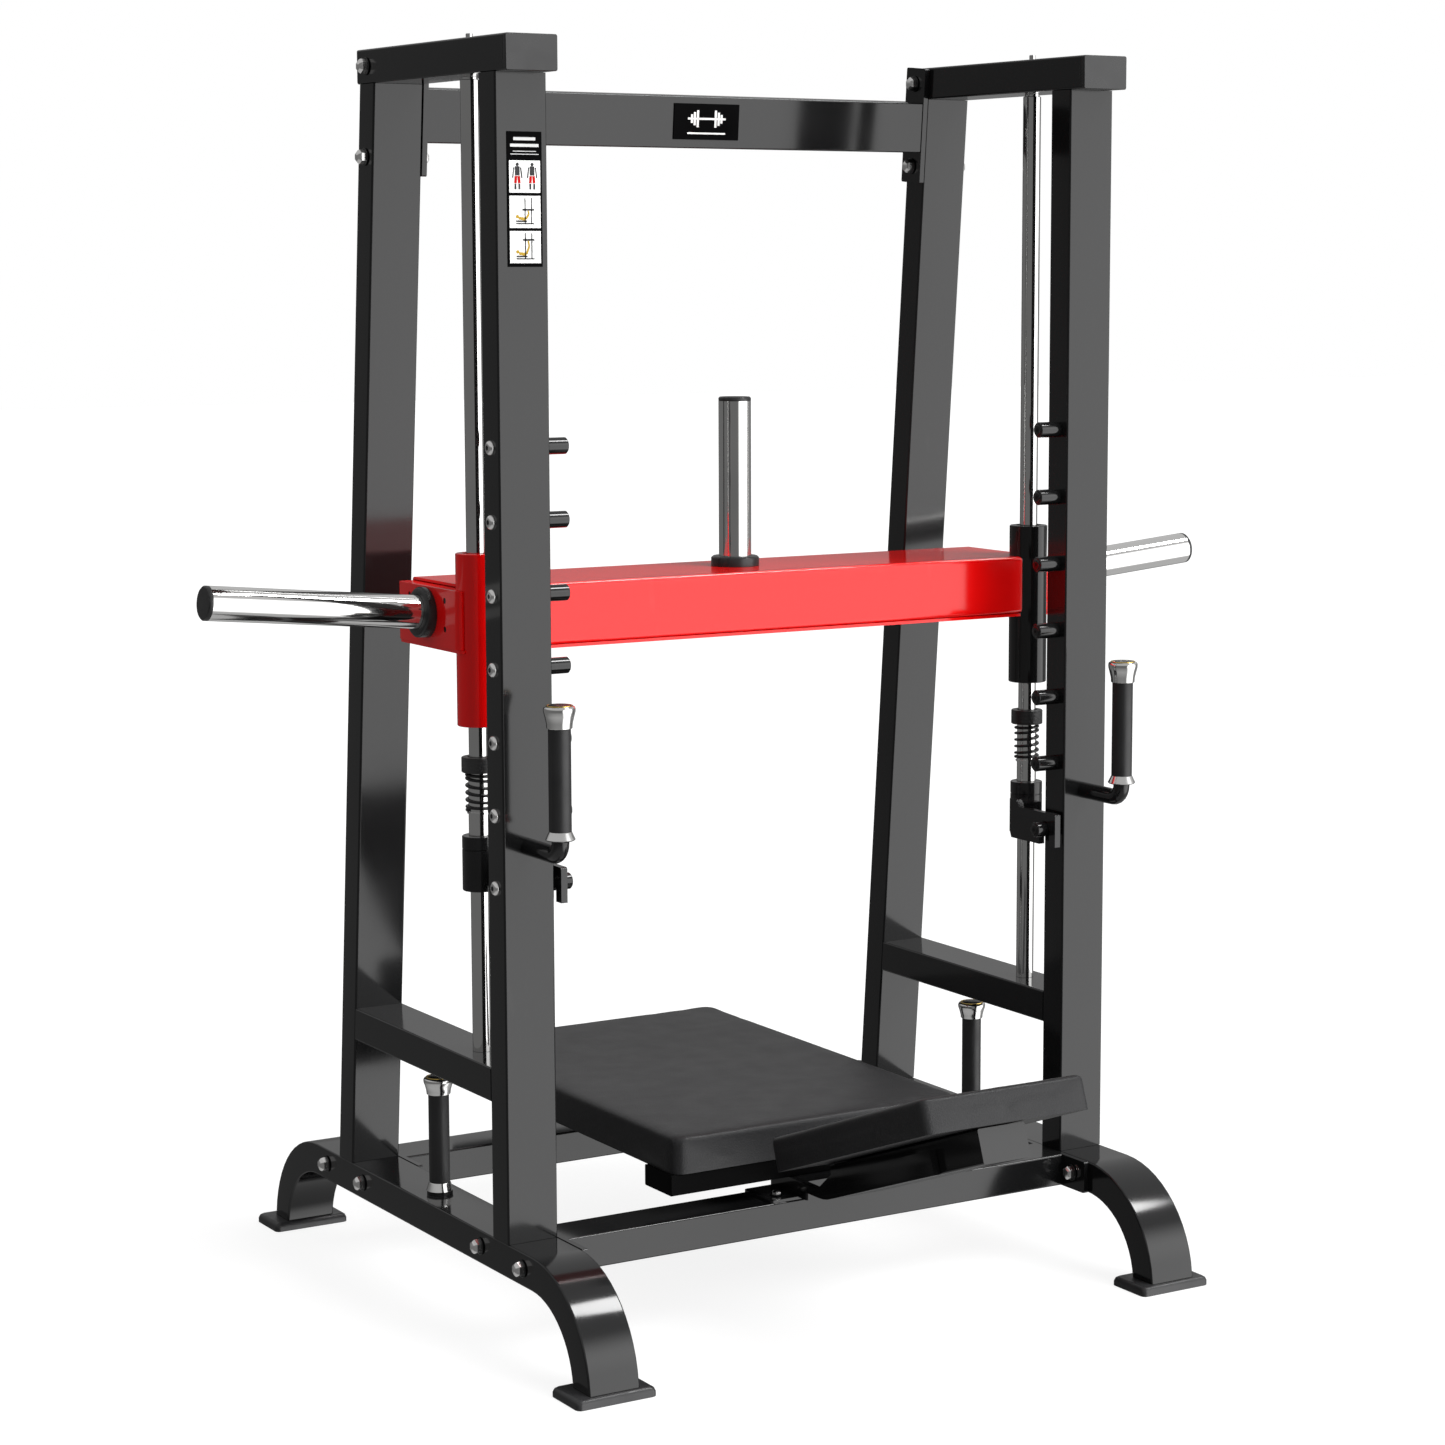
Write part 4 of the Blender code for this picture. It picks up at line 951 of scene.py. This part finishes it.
def room():
    """A world that is plain white to the camera and a soft studio to everything else."""
    world = bpy.data.worlds.new("studio")
    bpy.context.scene.world = world
    world.use_nodes = True
    tree = world.node_tree
    tree.nodes.clear()
    out = tree.nodes.new("ShaderNodeOutputWorld")
    mix = tree.nodes.new("ShaderNodeMixShader")
    seen = tree.nodes.new("ShaderNodeBackground")
    light = tree.nodes.new("ShaderNodeBackground")
    path = tree.nodes.new("ShaderNodeLightPath")
    coords = tree.nodes.new("ShaderNodeTexCoord")
    parts = tree.nodes.new("ShaderNodeSeparateXYZ")
    dot = tree.nodes.new("ShaderNodeVectorMath")
    dot.operation = "DOT_PRODUCT"
    dot.inputs[1].default_value = Vector(KEY_TOWARDS).normalized()
    tree.links.new(coords.outputs["Generated"], parts.inputs[0])
    tree.links.new(coords.outputs["Generated"], dot.inputs[0])
    # Each row adds light: what it follows, where it begins, where it is full, and how much it adds.
    total = None
    for source, low, high, gain in (
        (parts.outputs["Z"], 0.05, 0.36, SKY - HORIZON),
        (parts.outputs["Z"], -0.32, -0.65, GROUND - HORIZON),
        (parts.outputs["X"], -0.20, 0.80, RIGHT_SIDE),
        (dot.outputs["Value"], 0.70, 0.90, KEY),
    ):
        spread = tree.nodes.new("ShaderNodeMapRange")
        spread.interpolation_type = "SMOOTHSTEP"
        for key, number in (("From Min", low), ("From Max", high), ("To Min", 0.0), ("To Max", gain)):
            spread.inputs[key].default_value = number
        tree.links.new(source, spread.inputs["Value"])
        add = tree.nodes.new("ShaderNodeMath")
        add.inputs[1].default_value = HORIZON
        tree.links.new(spread.outputs["Result"], add.inputs[0])
        if total:
            tree.links.new(total, add.inputs[1])
        total = add.outputs[0]
    seen.inputs["Color"].default_value = (1, 1, 1, 1)
    tree.links.new(total, light.inputs["Strength"])
    tree.links.new(path.outputs["Is Camera Ray"], mix.inputs["Fac"])
    tree.links.new(light.outputs[0], mix.inputs[1])
    tree.links.new(seen.outputs[0], mix.inputs[2])
    tree.links.new(mix.outputs[0], out.inputs["Surface"])


def sun_lamp(name, energy, degrees, source):
    """A sun from a direction. The key sun isn't mirrored, and the edge sun is only mirrored."""
    sun = bpy.data.lights.new(name, "SUN")
    sun.energy = energy
    sun.angle = math.radians(degrees)
    lamp = bpy.data.objects.new(name, sun)
    lamp.rotation_euler = Vector(source).to_track_quat("Z", "Y").to_euler()
    lamp.visible_glossy = name == "edge"
    lamp.visible_diffuse = name == "key"
    bpy.context.scene.collection.objects.link(lamp)


def pale_floor():
    """A floor that is nearly white by itself, so that only soft shadows show on it."""
    paint = Paint("floor", (0.24, 0.24, 0.24), 0.9)
    paint.set("Specular IOR Level", 0.0)
    paint.set("Emission Color", (1, 1, 1, 1))
    paint.set("Emission Strength", 0.86)
    mesh = bpy.data.meshes.new("floor")
    far = 30.0
    mesh.from_pydata([(-far, -far, 0), (far, -far, 0), (far, far, 0), (-far, far, 0)], [], [(0, 1, 2, 3)])
    mesh.materials.append(paint.material)
    floor = bpy.data.objects.new("floor", mesh)
    floor.location.z = -0.0005
    floor.visible_glossy = False
    floor.visible_diffuse = False
    bpy.context.scene.collection.objects.link(floor)


# ---------------------------------------------------------------- camera
CAMERA_PLACE = (-2.6917, FRONT_Y - 4.2414, 1.5715)
CAMERA_DOWN = 7.67
CAMERA_RIGHT = 32.17


def camera():
    """A camera that looks down and to the right, with its picture shifted on the sensor."""
    data = bpy.data.cameras.new("camera")
    data.sensor_width = 36.0
    data.lens = 85.03
    data.shift_x = -0.0586
    data.shift_y = -0.0035
    data.clip_end = 100.0
    item = bpy.data.objects.new("camera", data)
    item.location = CAMERA_PLACE
    item.rotation_euler = (math.radians(90 - CAMERA_DOWN), 0, math.radians(-CAMERA_RIGHT))
    bpy.context.scene.collection.objects.link(item)
    bpy.context.scene.camera = item


def main():
    camera()
    studio()
    paint_nodes()
    smooth_nodes()
    bolts()
    peg_screws()
    mount_screws()
    end_hole_painted_shade()
    end_slot_shades()
    handle_trim()
    springs()
    placard()
    badge()
    pads()


main()
